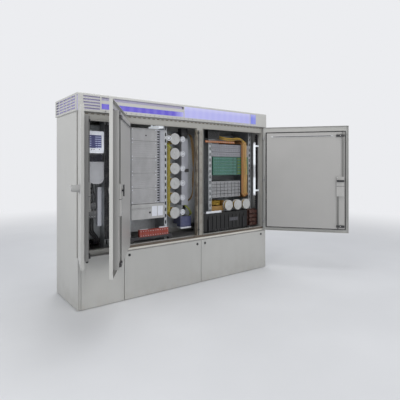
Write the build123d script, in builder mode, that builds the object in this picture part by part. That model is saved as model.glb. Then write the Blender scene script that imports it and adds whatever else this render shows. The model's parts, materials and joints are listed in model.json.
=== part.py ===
from build123d import *
import math
import os

os.makedirs("parts", exist_ok=True)

# A street cabinet with three bays on one plinth, all three doors standing open.
# Millimetres, +Z up, +X right along the front, +Y to the back.
# The origin is the middle of the footprint, on the ground.

# Overall body
width = 1800.0
depth = 470.0
height = 1457.0
plinth_height = 353.0
canopy_height = 124.0
sheet = 2.0
ground_gap = 4.0
split_1_share = 335.5 / 1800
split_2_share = 1028.5 / 1800
clear_units = 22

left = -width / 2
right = width / 2
front = -depth / 2
back = depth / 2
split_1 = left + width * split_1_share
split_2 = left + width * split_2_share
canopy_bottom = height - canopy_height
roof_bottom = canopy_bottom - sheet
bays = ((left, split_1), (split_1, split_2), (split_2, right))
rack_unit = (roof_bottom - plinth_height) / clear_units

# Doors
door_gap = 3.0
door_fold = 20.0
door_to_door = 5.0
door_angle_1 = 106.0
door_angle_2 = 122.3
door_angle_3 = 128.5
liner_rise = 27.0
liner_inset = 6.0

# Front frame and its openings, counted from the edge of the shut door
frame_setback = 24.0
frame_back = 46.0
opening_side = 31.0
opening_top = 53.0
opening_foot = 34.0
seal_width = 11.0
seal_height = 12.0
seal_squeeze = 0.3

# Hinges
pivot_inset = 8.0
pin_radius = 3.0
pin_clearance = 0.05
barrel_radius = 5.0
barrel_height = 20.0
hinge_gap = 0.5
lug_near = 2.0
lug_far = 9.0
notch_gap = 2.0
hinge_end_inset = 95.0

# Locks
lock_inset = 75.0
lock_height = 830.0
handle_gap = 0.4
handle_hub_radius = 23.0
handle_hub_height = 44.0
handle_length = 150.0
handle_thick = 17.0
handle_width = 34.0
handle_round = 5.0
hub_taper = 5.0
key_disc_radius = 30.0
key_disc_thick = 9.0
key_disc_round = 1.5
key_socket = 8.0
key_socket_deep = 4.0
turn_bar_depth = 66.0
turn_bar_thick = 6.0
turn_bar_length = 66.0
turn_bar_width = 16.0
bar_upright = 90
bar_level = 0
shaft_radius = 6.0
shaft_clearance = 0.05
gear_module = 2.0
gear_teeth = 12
gear_side_gap = 0.5
pressure_angle = math.radians(20)
backlash = 0.4
pinion_root_depth = 1.7
rack_tip_height = 1.3
rack_root_depth = 2.4
rod_lift = 2.0
rod_thick = 5.0
rod_width = 14.0
rod_clearance = 0.5
rod_end_gap = 6.0
rod_tail = 10.0
rod_bevel = 3.0
case_wall = 2.5
case_half_width = 34.0
case_above = 38.0
case_below = 139.0
guide_height = 20.0
upper_guide_inset = 92.0
lower_guide_inset = 64.0

door_bottom = plinth_height + door_gap
door_top = canopy_bottom - door_gap
opening_bottom = door_bottom + opening_foot
opening_head = door_top - opening_top
pitch_radius = gear_module * gear_teeth / 2


def block(x_pair, y_pair, z_pair, mode=Mode.ADD):
    """A block that fills the space between two planes along each axis."""
    x_low, x_high = sorted(x_pair)
    y_low, y_high = sorted(y_pair)
    z_low, z_high = sorted(z_pair)
    with Locations((x_low, y_low, z_low)):
        Box(x_high - x_low, y_high - y_low, z_high - z_low,
            align=(Align.MIN, Align.MIN, Align.MIN), mode=mode)


def across(bay, share):
    """A place in a bay, as a share of its width from its left side."""
    low, high = bays[bay]
    return low + share * (high - low)


def rack_level(units):
    """A height in the bays, in rack units above the floor plate."""
    return plinth_height + units * rack_unit


def keep(piece, label):
    """Names a finished piece and writes its file."""
    piece.part.label = label
    export_step(piece.part, f"parts/{label}.step")


# Base frame: welded channels round the foot and under the floor, with uprights and anchor plates
base_side_gap = 4.0
base_front_gap = 18.0
base_tube = 40.0
base_rail = 60.0
floor_sheet = 3.0
anchor_plate = 110.0
anchor_plate_thick = 8.0
anchor_hole_radius = 7.0
anchor_inset_x = 90.0
anchor_inset_y = 100.0

base_left = left + sheet + base_side_gap
base_right = right - sheet - base_side_gap
base_front = front + base_front_gap
base_back = back - sheet - base_side_gap
base_top = plinth_height - floor_sheet
anchor_spacing_x = width - 2 * anchor_inset_x
anchor_spacing_y = depth - 2 * anchor_inset_y
upright_places = (base_left + base_tube / 2, split_1, split_2, base_right - base_tube / 2)

with BuildPart() as base_frame:
    for low, high in ((0, base_rail), (base_top - base_tube, base_top)):
        block((base_left, base_right), (base_front, base_back), (low, high))
        block((base_left + base_tube, base_right - base_tube),
              (base_front + base_tube, base_back - base_tube), (low, high), Mode.SUBTRACT)
    for x in upright_places:
        for y_low in (base_front, base_back - base_tube):
            block((x - base_tube / 2, x + base_tube / 2), (y_low, y_low + base_tube), (0, base_top))
    with Locations((0, 0, anchor_plate_thick / 2)):
        with GridLocations(anchor_spacing_x, anchor_spacing_y, 2, 2):
            Box(anchor_plate, anchor_plate, anchor_plate_thick)
    with BuildSketch(Plane.XY):
        with GridLocations(anchor_spacing_x, anchor_spacing_y, 2, 2):
            Circle(anchor_hole_radius)
    extrude(amount=base_rail, mode=Mode.SUBTRACT)
keep(base_frame, "base_frame")

# Plinth front: three folded sheet panels held by quarter-turn locks
plinth_corner = 24.0
plinth_panel_gap = 4.0
plinth_fold = 15.0
lock_hole_radius = 6.0
lock_from_end = 38.0
lock_from_top = 27.0
lock_head_radius = 10.0
lock_head_thick = 2.5
lock_slot = 2.0
lock_slot_length = 14.0
panel_bottom = ground_gap
panel_top = base_top - 1.0
plinth_spans = {
    "plinth_panel_left": (left + plinth_corner, split_1 - plinth_panel_gap / 2),
    "plinth_panel_middle": (split_1 + plinth_panel_gap / 2, split_2 - plinth_panel_gap / 2),
    "plinth_panel_right": (split_2 + plinth_panel_gap / 2, right - plinth_corner),
}
lock_level = panel_top - lock_from_top
lock_places = [(x, lock_level) for ends in plinth_spans.values()
               for x in (ends[0] + lock_from_end, ends[1] - lock_from_end)]

for label, ends in plinth_spans.items():
    with BuildPart() as plinth_panel:
        block(ends, (front, front + plinth_fold), (panel_bottom, panel_top))
        block((ends[0] + sheet, ends[1] - sheet), (front + sheet, front + plinth_fold),
              (panel_bottom + sheet, panel_top - sheet), Mode.SUBTRACT)
        for x in (ends[0] + lock_from_end, ends[1] - lock_from_end):
            with Locations((x, front + sheet / 2, lock_level)):
                Cylinder(lock_hole_radius, sheet, rotation=(90, 0, 0), mode=Mode.SUBTRACT)
    keep(plinth_panel, label)

with BuildPart() as plinth_locks:
    with BuildSketch(Plane.XZ.offset(-front)):
        with Locations(*lock_places):
            Circle(lock_head_radius)
    extrude(amount=lock_head_thick)
    with BuildSketch(Plane.XZ.offset(-front)):
        with Locations(*lock_places):
            Circle(lock_hole_radius)
    extrude(amount=-base_front_gap)
    with BuildSketch(Plane.XZ.offset(-front + lock_head_thick)):
        with Locations(*lock_places):
            Rectangle(lock_slot_length, lock_slot)
    extrude(amount=-lock_head_thick / 2, mode=Mode.SUBTRACT)
keep(plinth_locks, "plinth_locks")

# Side panels: one sheet each from foot to canopy, with a set-back strip at the plinth's corner
strip_setback = 3.0
strip_width = plinth_corner - 2.0

for label, edge, inward in (("side_panel_left", left, 1), ("side_panel_right", right, -1)):
    with BuildPart() as side_panel:
        block((edge, edge + inward * sheet), (front + frame_setback, back), (ground_gap, canopy_bottom))
        block((edge, edge + inward * sheet), (front, back), (ground_gap, plinth_height))
        block((edge, edge + inward * strip_width),
              (front + strip_setback, front + strip_setback + sheet), (ground_gap, panel_top))
    keep(side_panel, label)

# Rear panel, floor plate and roof plate close the body between the sides
with BuildPart() as rear_panel:
    block((left + sheet, right - sheet), (back - sheet, back), (ground_gap, roof_bottom))
keep(rear_panel, "rear_panel")

gland_radius = 24.0
gland_lip = 4.0
gland_rise = 9.0
gland_taper = 12.0
gland_setback = 330.0
gland_y = front + gland_setback
gland_places = [(across(bay, share), gland_y)
                for bay, share in ((0, 0.551), (1, 0.433), (1, 0.606), (2, 0.324), (2, 0.48), (2, 0.635))]

with BuildPart() as floor_plate:
    block((left + sheet, right - sheet), (front + sheet / 2, back - sheet), (base_top, plinth_height))
    with BuildSketch(Plane.XY.offset(base_top)):
        with Locations(*gland_places):
            Circle(gland_radius)
    extrude(amount=floor_sheet, mode=Mode.SUBTRACT)
keep(floor_plate, "floor_plate")

with BuildPart() as cable_glands:
    with BuildSketch(Plane.XY.offset(base_top)):
        with Locations(*gland_places):
            Circle(gland_radius)
    extrude(amount=floor_sheet)
    with BuildSketch(Plane.XY.offset(plinth_height)):
        with Locations(*gland_places):
            Circle(gland_radius + gland_lip)
    extrude(amount=gland_rise, taper=gland_taper)
keep(cable_glands, "cable_glands")

with BuildPart() as roof_plate:
    block((left + sheet, right - sheet), (front + frame_setback, back - sheet), (roof_bottom, canopy_bottom))
keep(roof_plate, "roof_plate")

with BuildPart() as bay_partition:
    block((split_1 - sheet / 2, split_1 + sheet / 2), (front + frame_back, back - sheet),
          (plinth_height, roof_bottom))
keep(bay_partition, "bay_partition")

# Front frame: one welded sheet frame, whose folded edges stand forward as lips for the door seals
door_spans = (
    (left + door_gap, split_1 - door_to_door / 2),
    (split_1 + door_to_door / 2, split_2 - door_to_door / 2),
    (split_2 + door_to_door / 2, right - door_gap),
)
lip_front = front + sheet + seal_height + seal_squeeze

with BuildPart() as front_frame:
    block((left + sheet, right - sheet), (front + frame_setback, front + frame_back),
          (plinth_height, roof_bottom))
    for low, high in door_spans:
        block((low + opening_side - sheet, high - opening_side + sheet), (lip_front, front + frame_setback),
              (opening_bottom - sheet, opening_head + sheet))
    block((left + 2 * sheet, right - 2 * sheet), (front + frame_setback + sheet, front + frame_back),
          (plinth_height + sheet, roof_bottom - sheet), Mode.SUBTRACT)
    for low, high in door_spans:
        block((low + opening_side - sheet, high - opening_side + sheet),
              (front + frame_setback, front + frame_back), (opening_bottom - sheet, opening_head + sheet))
        block((low + opening_side, high - opening_side), (lip_front, front + frame_back),
              (opening_bottom, opening_head), Mode.SUBTRACT)
keep(front_frame, "front_frame")

# Canopy: a folded cover with rounded edges, long light slots, louvres and a row of small vents
canopy_overhang = 10.0
canopy_corner = 12.0
canopy_flange = 42.0
slot_low, slot_high = canopy_bottom + 83.0, canopy_bottom + 104.0
lamp_low, lamp_high = canopy_bottom + 23.0, canopy_bottom + 60.0
glass_low, glass_high = canopy_bottom + 19.0, canopy_bottom + 107.0
light_left_inset = 161.0
light_right_inset = 138.0
patch_width = 70.0
patch_gap = 7.0
light_split = left + width * 0.4717
light_split_gap = 8.0
patch_span = (right - light_right_inset - patch_width, right - light_right_inset)
lamp_span = (left + light_left_inset, light_split - light_split_gap / 2)
glass_span = (light_split + light_split_gap / 2, patch_span[0] - patch_gap)
louvre_span = (left + 34.0, left + 150.0)
louvre_first = canopy_bottom + 20.0
louvre_pitch = 20.0
louvre_count = 5
louvre_height = 11.0
side_window = 74.0
side_window_count = 5
side_window_pitch = 86.0
vent_height = 12.0
vent_width = 6.0
vent_pitch = 39.0
vent_level = canopy_bottom + 9.0
louvre_levels = [louvre_first + step * louvre_pitch for step in range(louvre_count)]
canopy_left, canopy_right = left - canopy_overhang, right + canopy_overhang
canopy_front, canopy_back = front - canopy_overhang, back + canopy_overhang
side_window_middles = [(step - (side_window_count - 1) / 2) * side_window_pitch
                       for step in range(side_window_count)]
vent_count = int((patch_span[1] - lamp_span[0]) // vent_pitch)
vent_middle = (patch_span[1] + lamp_span[0]) / 2

with BuildPart() as canopy_cover:
    block((canopy_left, canopy_right), (canopy_front, canopy_back), (canopy_bottom, height))
    fillet(canopy_cover.edges().filter_by(Axis.Z), canopy_corner)
    fillet(canopy_cover.faces().sort_by(Axis.Z)[-1].edges(), canopy_corner - 1.0)
    block((canopy_left + sheet, canopy_right - sheet), (canopy_front + sheet, canopy_back - sheet),
          (canopy_bottom + sheet, height - sheet - canopy_corner), Mode.SUBTRACT)
    block((canopy_left + canopy_corner, canopy_right - canopy_corner),
          (canopy_front + canopy_corner, canopy_back - canopy_corner),
          (height - sheet - canopy_corner, height - sheet), Mode.SUBTRACT)
    block((canopy_left + canopy_flange, canopy_right - canopy_flange),
          (canopy_front + canopy_flange, canopy_back - canopy_flange),
          (canopy_bottom, canopy_bottom + sheet), Mode.SUBTRACT)
    wall = (canopy_front, canopy_front + sheet)
    block(lamp_span, wall, (slot_low, slot_high), Mode.SUBTRACT)
    block(lamp_span, wall, (lamp_low, lamp_high), Mode.SUBTRACT)
    block(glass_span, wall, (glass_low, glass_high), Mode.SUBTRACT)
    block(patch_span, wall, (glass_low, glass_high), Mode.SUBTRACT)
    for level in louvre_levels:
        block(louvre_span, wall, (level - louvre_height / 2, level + louvre_height / 2), Mode.SUBTRACT)
        for middle in side_window_middles:
            block((canopy_left, canopy_right), (middle - side_window / 2, middle + side_window / 2),
                  (level - louvre_height / 2, level + louvre_height / 2), Mode.SUBTRACT)
    with BuildSketch(Plane.XZ.offset(-canopy_front)):
        with Locations((vent_middle, vent_level)):
            with GridLocations(vent_pitch, 1, vent_count, 1):
                SlotOverall(vent_height, vent_width, rotation=90)
    extrude(amount=-sheet, mode=Mode.SUBTRACT)
keep(canopy_cover, "canopy_cover")

slat_lean = 9.0
slat_rise = 13.0
slat_thick = 1.5
slat_margin = 6.0

with BuildPart() as canopy_slats:
    for level in louvre_levels:
        foot = level - slat_rise / 2
        with BuildSketch(Plane.YZ.offset(louvre_span[0] - slat_margin)):
            with BuildLine():
                Polyline((canopy_front + sheet, foot), (canopy_front + sheet, foot + slat_thick),
                         (canopy_front + sheet + slat_lean, foot + slat_rise),
                         (canopy_front + sheet + slat_lean + slat_thick, foot + slat_rise),
                         (canopy_front + sheet + slat_thick, foot), close=True)
            make_face()
        extrude(amount=louvre_span[1] - louvre_span[0] + 2 * slat_margin)
        for edge, inward in ((canopy_left, 1), (canopy_right, -1)):
            face = edge + inward * sheet
            run = side_window_count * side_window_pitch
            with BuildSketch(Plane.XZ.offset(-run / 2)):
                with BuildLine():
                    Polyline((face, foot), (face, foot + slat_thick),
                             (face + inward * slat_lean, foot + slat_rise),
                             (face + inward * (slat_lean + slat_thick), foot + slat_rise),
                             (face + inward * slat_thick, foot), close=True)
                make_face()
            extrude(amount=run)
keep(canopy_slats, "canopy_slats")

light_margin = 5.0
light_thick = 6.0
light_back = canopy_front + sheet + light_thick

with BuildPart() as canopy_lights:
    block((lamp_span[0] - light_margin, lamp_span[1] + light_margin / 2), (canopy_front + sheet, light_back),
          (lamp_low - light_margin, lamp_high + light_margin))
    block((glass_span[0] - light_margin / 2, patch_span[1] + light_margin),
          (canopy_front + sheet, light_back),
          (glass_low - light_margin / 2, glass_high + light_margin / 2))
keep(canopy_lights, "canopy_lights")


# Doors: each stands in its own frame, with the origin on its pivot and x to the free edge
class Door:
    def __init__(self, number, span, hinged_right, angle, bar_turn):
        self.name = f"door_{number}"
        self.bar_turn = bar_turn
        self.inward = -1 if hinged_right else 1
        self.pivot_x = span[1] - pivot_inset if hinged_right else span[0] + pivot_inset
        self.pivot_y = front + pivot_inset
        self.angle = math.radians(angle)
        self.hinge_edge = -pivot_inset
        self.free_edge = span[1] - span[0] - pivot_inset
        self.lock_x = self.free_edge - lock_inset

    def plane(self, turn=None):
        """The door's own frame, at its standing angle or at the turn given."""
        turn = self.angle if turn is None else turn
        x_dir = (self.inward * math.cos(turn), -math.sin(turn), 0)
        return Plane(origin=(self.pivot_x, self.pivot_y, 0), x_dir=x_dir, z_dir=(0, 0, 1))

    def deep(self, *distances):
        """Distances behind the door's outer face, as y in the door's own frame."""
        return tuple(self.inward * (distance - pivot_inset) for distance in distances)

    def face(self, distance):
        """A plane along the door at a distance behind its outer face, seen from outside."""
        own = self.plane()
        origin = own.from_local_coords((0, self.deep(distance)[0], 0))
        return Plane(origin=origin, x_dir=own.x_dir * self.inward, z_dir=own.y_dir * -self.inward)

    def on_face(self, x, z):
        """A point of the door's frame as it lies on such a plane."""
        return self.inward * x, z


doors = (
    Door(1, door_spans[0], False, door_angle_1, bar_upright),
    Door(2, door_spans[1], False, door_angle_2, bar_upright),
    Door(3, door_spans[2], True, door_angle_3, bar_level),
)
hinge_levels = (door_bottom + hinge_end_inset, (door_bottom + door_top) / 2, door_top - hinge_end_inset)
liner_face = door_fold + liner_rise
rod_front = liner_face + rod_lift
rod_rear = rod_front + rod_thick
case_face = rod_rear + rod_lift
rod_offset = pitch_radius + rack_root_depth + rod_width / 2
rod_travel = pitch_radius * math.pi / 2
tooth_pitch = math.pi * gear_module
tooth_thick = tooth_pitch / 2 - backlash
upper_end = opening_head - rod_end_gap
lower_end = opening_bottom + rod_end_gap
upper_guide = door_top - upper_guide_inset
lower_guide = door_bottom + lower_guide_inset


def door_skin(door):
    """Outer sheet with folded edges, notched round the hinges, with a welded barrel at each."""
    with BuildPart(door.plane()) as skin:
        block((door.hinge_edge, door.free_edge), door.deep(0, door_fold), (door_bottom, door_top))
        fillet(skin.edges().filter_by(Axis.Z), sheet / 2)
        block((door.hinge_edge + sheet, door.free_edge - sheet), door.deep(sheet, door_fold),
              (door_bottom + sheet, door_top - sheet), Mode.SUBTRACT)
        for level in hinge_levels:
            block((door.hinge_edge, door.hinge_edge + sheet), door.deep(sheet, door_fold),
                  (level - barrel_height - notch_gap, level + barrel_height + notch_gap), Mode.SUBTRACT)
            barrel_middle = level + hinge_gap + barrel_height / 2
            block((-barrel_radius, barrel_radius), door.deep(sheet, pivot_inset),
                  (barrel_middle - barrel_height / 2, barrel_middle + barrel_height / 2))
            with Locations((0, 0, barrel_middle)):
                Cylinder(barrel_radius, barrel_height)
                Cylinder(pin_radius + pin_clearance, barrel_height, mode=Mode.SUBTRACT)
        with BuildSketch(door.face(0)):
            with Locations(door.on_face(door.lock_x, lock_height)):
                Circle(shaft_radius + shaft_clearance)
        extrude(amount=-sheet, mode=Mode.SUBTRACT)
    keep(skin, f"{door.name}_skin")


def door_liner(door):
    """Inner sheet pan that stands proud of the door's folded edge."""
    side, top, foot = (inset + liner_inset for inset in (opening_side, opening_top, opening_foot))
    x_pair = (door.hinge_edge + side, door.free_edge - side)
    z_pair = (door_bottom + foot, door_top - top)
    with BuildPart(door.plane()) as liner:
        block(x_pair, door.deep(sheet, liner_face), z_pair)
        fillet(liner.edges().filter_by(Axis.Z), sheet)
        block((x_pair[0] + sheet, x_pair[1] - sheet), door.deep(sheet, liner_face - sheet),
              (z_pair[0] + sheet, z_pair[1] - sheet), Mode.SUBTRACT)
        with BuildSketch(door.face(liner_face)):
            with Locations(door.on_face(door.lock_x, lock_height)):
                Circle(shaft_radius + shaft_clearance)
        extrude(amount=sheet, mode=Mode.SUBTRACT)
    keep(liner, f"{door.name}_liner")


def door_seal(door):
    """Foam seal, one closed ring that the frame's lip presses into."""
    with BuildPart(door.plane()) as seal:
        for grow, mode in ((seal_width / 2, Mode.ADD), (-seal_width / 2, Mode.SUBTRACT)):
            side, top, foot = (inset - sheet / 2 - grow
                               for inset in (opening_side, opening_top, opening_foot))
            block((door.hinge_edge + side, door.free_edge - side), door.deep(sheet, sheet + seal_height),
                  (door_bottom + foot, door_top - top), mode)
    keep(seal, f"{door.name}_seal")


def lock_housing(door):
    """Lock case on the liner, open towards the door, and a guide block near the end of each rod."""
    x = door.lock_x
    inner = case_half_width - case_wall
    case_low, case_high = lock_height - case_below, lock_height + case_above
    slot_half = rod_width / 2 + rod_clearance
    slot_deep = door.deep(rod_front - rod_clearance, rod_rear + rod_clearance)
    with BuildPart(door.plane()) as housing:
        block((x - case_half_width, x + case_half_width), door.deep(liner_face, case_face + case_wall),
              (case_low, case_high))
        for level in (upper_guide, lower_guide):
            block((x - case_half_width, x + case_half_width), door.deep(liner_face, case_face + case_wall),
                  (level - guide_height / 2, level + guide_height / 2))
        fillet(housing.edges().filter_by(Axis.Z), case_wall)
        block((x - inner, x + inner), door.deep(liner_face, case_face),
              (case_low + case_wall, case_high - case_wall), Mode.SUBTRACT)
        for offset, wall, guide in ((rod_offset, case_high, upper_guide),
                                    (-rod_offset, case_low, lower_guide)):
            for level in (wall, guide):
                block((x + offset - slot_half, x + offset + slot_half), slot_deep,
                      (level - guide_height, level + guide_height), Mode.SUBTRACT)
        with BuildSketch(door.face(case_face)):
            with Locations(door.on_face(x, lock_height)):
                Circle(shaft_radius + shaft_clearance)
        extrude(amount=-case_wall, mode=Mode.SUBTRACT)
    keep(housing, f"{door.name}_lock_housing")


def pinion_points():
    """Outline of the pinion: straight root flanks, then an involute from the base circle to the tip."""
    base = pitch_radius * math.cos(pressure_angle)
    tip = pitch_radius + gear_module
    half_at_pitch = tooth_thick / 2 / pitch_radius + math.tan(pressure_angle) - pressure_angle
    flank = [(pitch_radius - pinion_root_depth, half_at_pitch)]
    for radius in (base, pitch_radius, (pitch_radius + tip) / 2, tip):
        roll = math.acos(base / radius)
        flank.append((radius, half_at_pitch - math.tan(roll) + roll))
    points = []
    for tooth in range(gear_teeth):
        middle = 2 * math.pi * tooth / gear_teeth
        sides = [(radius, -half) for radius, half in flank]
        sides += [(radius, half) for radius, half in reversed(flank)]
        points += [(radius * math.cos(middle + turn), radius * math.sin(middle + turn))
                   for radius, turn in sides]
    return points


def lock_spindle(door):
    """Shaft through the door with the pinion between the racks and a turn bar on the inside."""
    with BuildPart() as spindle:
        with BuildSketch(door.face(-handle_gap)):
            with Locations(door.on_face(door.lock_x, lock_height)):
                Circle(shaft_radius)
        extrude(amount=-(turn_bar_depth + handle_gap))
        with BuildSketch(door.face(rod_front - gear_side_gap)):
            with Locations(door.on_face(door.lock_x, lock_height)):
                Polygon(*pinion_points(), align=None)
        extrude(amount=-(rod_thick + 2 * gear_side_gap))
        with BuildSketch(door.face(turn_bar_depth)):
            with Locations(door.on_face(door.lock_x, lock_height)):
                SlotOverall(turn_bar_length, turn_bar_width, rotation=door.bar_turn)
        extrude(amount=-turn_bar_thick)
    keep(spindle, f"{door.name}_lock_spindle")


def door_handle(door):
    """Cast lever handle on the outside, level while the door is unlocked."""
    with BuildPart() as handle:
        with BuildSketch(door.face(-handle_gap)):
            with Locations(door.on_face(door.lock_x, lock_height)):
                Circle(handle_hub_radius)
        extrude(amount=handle_hub_height, taper=hub_taper)
        with BuildSketch(door.face(-handle_gap - handle_hub_height + handle_thick / 2)):
            with Locations(door.on_face(door.lock_x - (handle_length - handle_width) / 2, lock_height)):
                SlotOverall(handle_length, handle_width)
        extrude(amount=handle_thick)
        outward = Axis(door.face(0).origin, door.face(0).z_dir)
        fillet(handle.faces().sort_by(outward)[-1].edges(), handle_round)
    keep(handle, f"{door.name}_handle")


def door_key_disc(door):
    """Low disc on the outside that a square key turns."""
    with BuildPart() as disc:
        with BuildSketch(door.face(-handle_gap)):
            with Locations(door.on_face(door.lock_x, lock_height)):
                Circle(key_disc_radius)
        extrude(amount=key_disc_thick)
        outward = Axis(door.face(0).origin, door.face(0).z_dir)
        fillet(disc.faces().sort_by(outward)[-1].edges(), key_disc_round)
        with BuildSketch(door.face(-handle_gap - key_disc_thick)):
            with Locations(door.on_face(door.lock_x, lock_height)):
                Rectangle(key_socket, key_socket)
        extrude(amount=-key_socket_deep, mode=Mode.SUBTRACT)
    keep(disc, f"{door.name}_key_disc")


def lock_rod(door, label, offset, end):
    """Flat rod with a rack at the pinion and a bevelled end that passes behind the frame's lip."""
    away = math.copysign(1, end - lock_height)
    tail = lock_height - away * (rod_travel + rod_tail)
    toward = -math.copysign(1, offset)
    root_x = toward * rod_width / 2
    tip_x = root_x + toward * (rack_root_depth + rack_tip_height)
    pitch_x = root_x + toward * rack_root_depth
    slope = math.tan(pressure_angle)
    half_root = tooth_thick / 2 + abs(pitch_x - root_x) * slope
    half_tip = tooth_thick / 2 - abs(tip_x - pitch_x) * slope
    reach = math.ceil(rod_travel / tooth_pitch) + 1
    marks = [door.on_face(door.lock_x + offset, lock_height - away * (step + 1 / 2) * tooth_pitch)
             for step in range(-2, reach)]
    half, bevel = rod_width / 2, away * rod_bevel
    outline = ((-half, tail), (half, tail), (half, end - bevel), (half - rod_bevel, end),
               (rod_bevel - half, end), (-half, end - bevel))
    tooth = ((root_x, -half_root), (tip_x, -half_tip), (tip_x, half_tip), (root_x, half_root))
    with BuildPart() as rod:
        with BuildSketch(door.face(rod_front)):
            with Locations(door.on_face(door.lock_x + offset, 0)):
                Polygon(*outline, align=None)
            with Locations(*marks):
                Polygon(*((door.inward * x, z) for x, z in tooth), align=None)
        extrude(amount=-rod_thick)
    keep(rod, f"{door.name}_{label}")


for door in doors:
    door_skin(door)
    door_liner(door)
    door_seal(door)
    lock_housing(door)
    lock_spindle(door)
    lock_rod(door, "rod_upper", rod_offset, upper_end)
    lock_rod(door, "rod_lower", -rod_offset, lower_end)

# The meter's door has a lever; the two wide doors are turned with a key
meter_door, *key_doors = doors
door_handle(meter_door)
for door in key_doors:
    door_key_disc(door)

# Hinges on the frame: a lug under each door barrel, and a pin pressed into the lug
with BuildPart() as hinge_lugs:
    for door in doors:
        own = door.plane(0)
        lug_block_y = door.deep(pivot_inset, frame_setback)
        for level in hinge_levels:
            corner = own.from_local_coords((lug_near, lug_block_y[0], level - barrel_height))
            opposite = own.from_local_coords((lug_far, lug_block_y[1], level))
            block((corner.X, opposite.X), (corner.Y, opposite.Y), (corner.Z, opposite.Z))
            with Locations((door.pivot_x, door.pivot_y, level - barrel_height / 2)):
                Cylinder(barrel_radius, barrel_height)
                Cylinder(pin_radius, barrel_height, mode=Mode.SUBTRACT)
keep(hinge_lugs, "hinge_lugs")

with BuildPart() as hinge_pins:
    for door in doors:
        for level in hinge_levels:
            with Locations((door.pivot_x, door.pivot_y, level + hinge_gap / 2)):
                Cylinder(pin_radius, 2 * barrel_height + hinge_gap)
keep(hinge_pins, "hinge_pins")

# Equipment mounts: a perforated upright channel is as deep as the way to its bay's mounting plate
upright_front_1 = front + 90.0
upright_front_3 = front + 120.0
plate_front_1 = front + 170.0
plate_front_2 = front + 232.0
plate_front_3 = front + 330.0
bay_uprights = (
    ((across(0, 0.1967), across(0, 0.2683)), (upright_front_1, plate_front_1)),
    ((across(0, 0.6557), across(0, 0.769)), (upright_front_1, plate_front_1)),
    ((across(1, 0.0988), across(1, 0.1349)), (upright_front_1, plate_front_2)),
    ((across(1, 0.5635), across(1, 0.5981)), (upright_front_1, plate_front_2)),
    ((across(2, 0.2249), across(2, 0.269)), (upright_front_3, plate_front_3)),
    ((across(2, 0.8574), across(2, 0.8989)), (upright_front_3, plate_front_3)),
)
perforation_pitch = 50.0
perforation_length = 30.0
perforation_width = 11.0
perforation_margin = 30.0
perforation_count = int((roof_bottom - plinth_height - 2 * perforation_margin) // perforation_pitch)
channel_middle = (plinth_height + roof_bottom) / 2

with BuildPart() as equipment_uprights:
    for x_pair, y_pair in bay_uprights:
        block(x_pair, y_pair, (plinth_height, roof_bottom))
        block((x_pair[0] + sheet, x_pair[1] - sheet), (y_pair[0] + sheet, y_pair[1]),
              (plinth_height, roof_bottom), Mode.SUBTRACT)
        with BuildSketch(Plane.XZ.offset(-y_pair[0])):
            with Locations((sum(x_pair) / 2, channel_middle)):
                with GridLocations(1, perforation_pitch, 1, perforation_count):
                    SlotOverall(perforation_length, perforation_width, rotation=90)
        extrude(amount=-sheet, mode=Mode.SUBTRACT)
keep(equipment_uprights, "equipment_uprights")

plate_low, plate_high = rack_level(1.957), rack_level(20.448)
with BuildPart() as mounting_plates:
    for x_pair, plate_front in (((across(0, 0.1192), split_1 - sheet / 2), plate_front_1),
                                ((across(1, 0.0786), across(1, 0.9589)), plate_front_2),
                                ((across(2, 0.0927), across(2, 0.9157)), plate_front_3)):
        block(x_pair, (plate_front, plate_front + sheet), (plate_low, plate_high))
keep(mounting_plates, "mounting_plates")

# Left bay: meter, service box with a rounded foot, circuit breakers and the supply cables
meter_x = (across(0, 0.2832), across(0, 0.6528))
meter_z = (rack_level(15.814), rack_level(19.346))
meter_window_x = (across(0, 0.307), across(0, 0.5991))
meter_window_z = (rack_level(16.624), rack_level(18.693))
window_deep = 4.0
meter_round = 8.0
box_x = (across(0, 0.307), across(0, 0.6528))
box_step_x = (across(0, 0.307), across(0, 0.6319))
box_z = (rack_level(10.91), rack_level(14.419))
box_step_z = (rack_level(14.419), rack_level(15.679))
box_step_back = 12.0
box_round = 38.0
breaker_x = (across(0, 0.3398), across(0, 0.5127))
breaker_z = (rack_level(5.444), rack_level(7.716))
breaker_front = front + 120.0
breaker_nose = 9.0
breaker_nose_z = (rack_level(6.051), rack_level(7.086))
breaker_pole = 18.0
breaker_slit = 1.0
lever_x = (across(0, 0.4262), across(0, 0.4918))
lever_z = (rack_level(7.716), rack_level(8.008))

with BuildPart() as energy_meter:
    block(meter_x, (upright_front_1, plate_front_1), meter_z)
    fillet(energy_meter.edges().filter_by(Axis.Y), meter_round)
    fillet(energy_meter.faces().sort_by(Axis.Y)[0].edges(), sheet)
    block(meter_window_x, (upright_front_1, upright_front_1 + window_deep), meter_window_z, Mode.SUBTRACT)
keep(energy_meter, "energy_meter")

with BuildPart() as service_box:
    block(box_x, (upright_front_1, plate_front_1), box_z)
    fillet(service_box.faces().sort_by(Axis.Z)[0].edges().filter_by(Axis.Y), box_round)
    fillet(service_box.faces().sort_by(Axis.Y)[0].edges(), sheet)
    block(box_step_x, (upright_front_1 + box_step_back, plate_front_1), box_step_z)
keep(service_box, "service_box")

with BuildPart() as breaker_block:
    block(breaker_x, (breaker_front, plate_front_1), breaker_z)
    block(breaker_x, (breaker_front - breaker_nose, breaker_front), breaker_nose_z)
    for step in (1, 2):
        groove = breaker_x[0] + step * breaker_pole
        block((groove, groove + breaker_slit), (breaker_front - breaker_nose, breaker_front + breaker_slit),
              breaker_z, Mode.SUBTRACT)
    block(lever_x, (breaker_front, plate_front_1), lever_z)
keep(breaker_block, "breaker_block")


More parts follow.
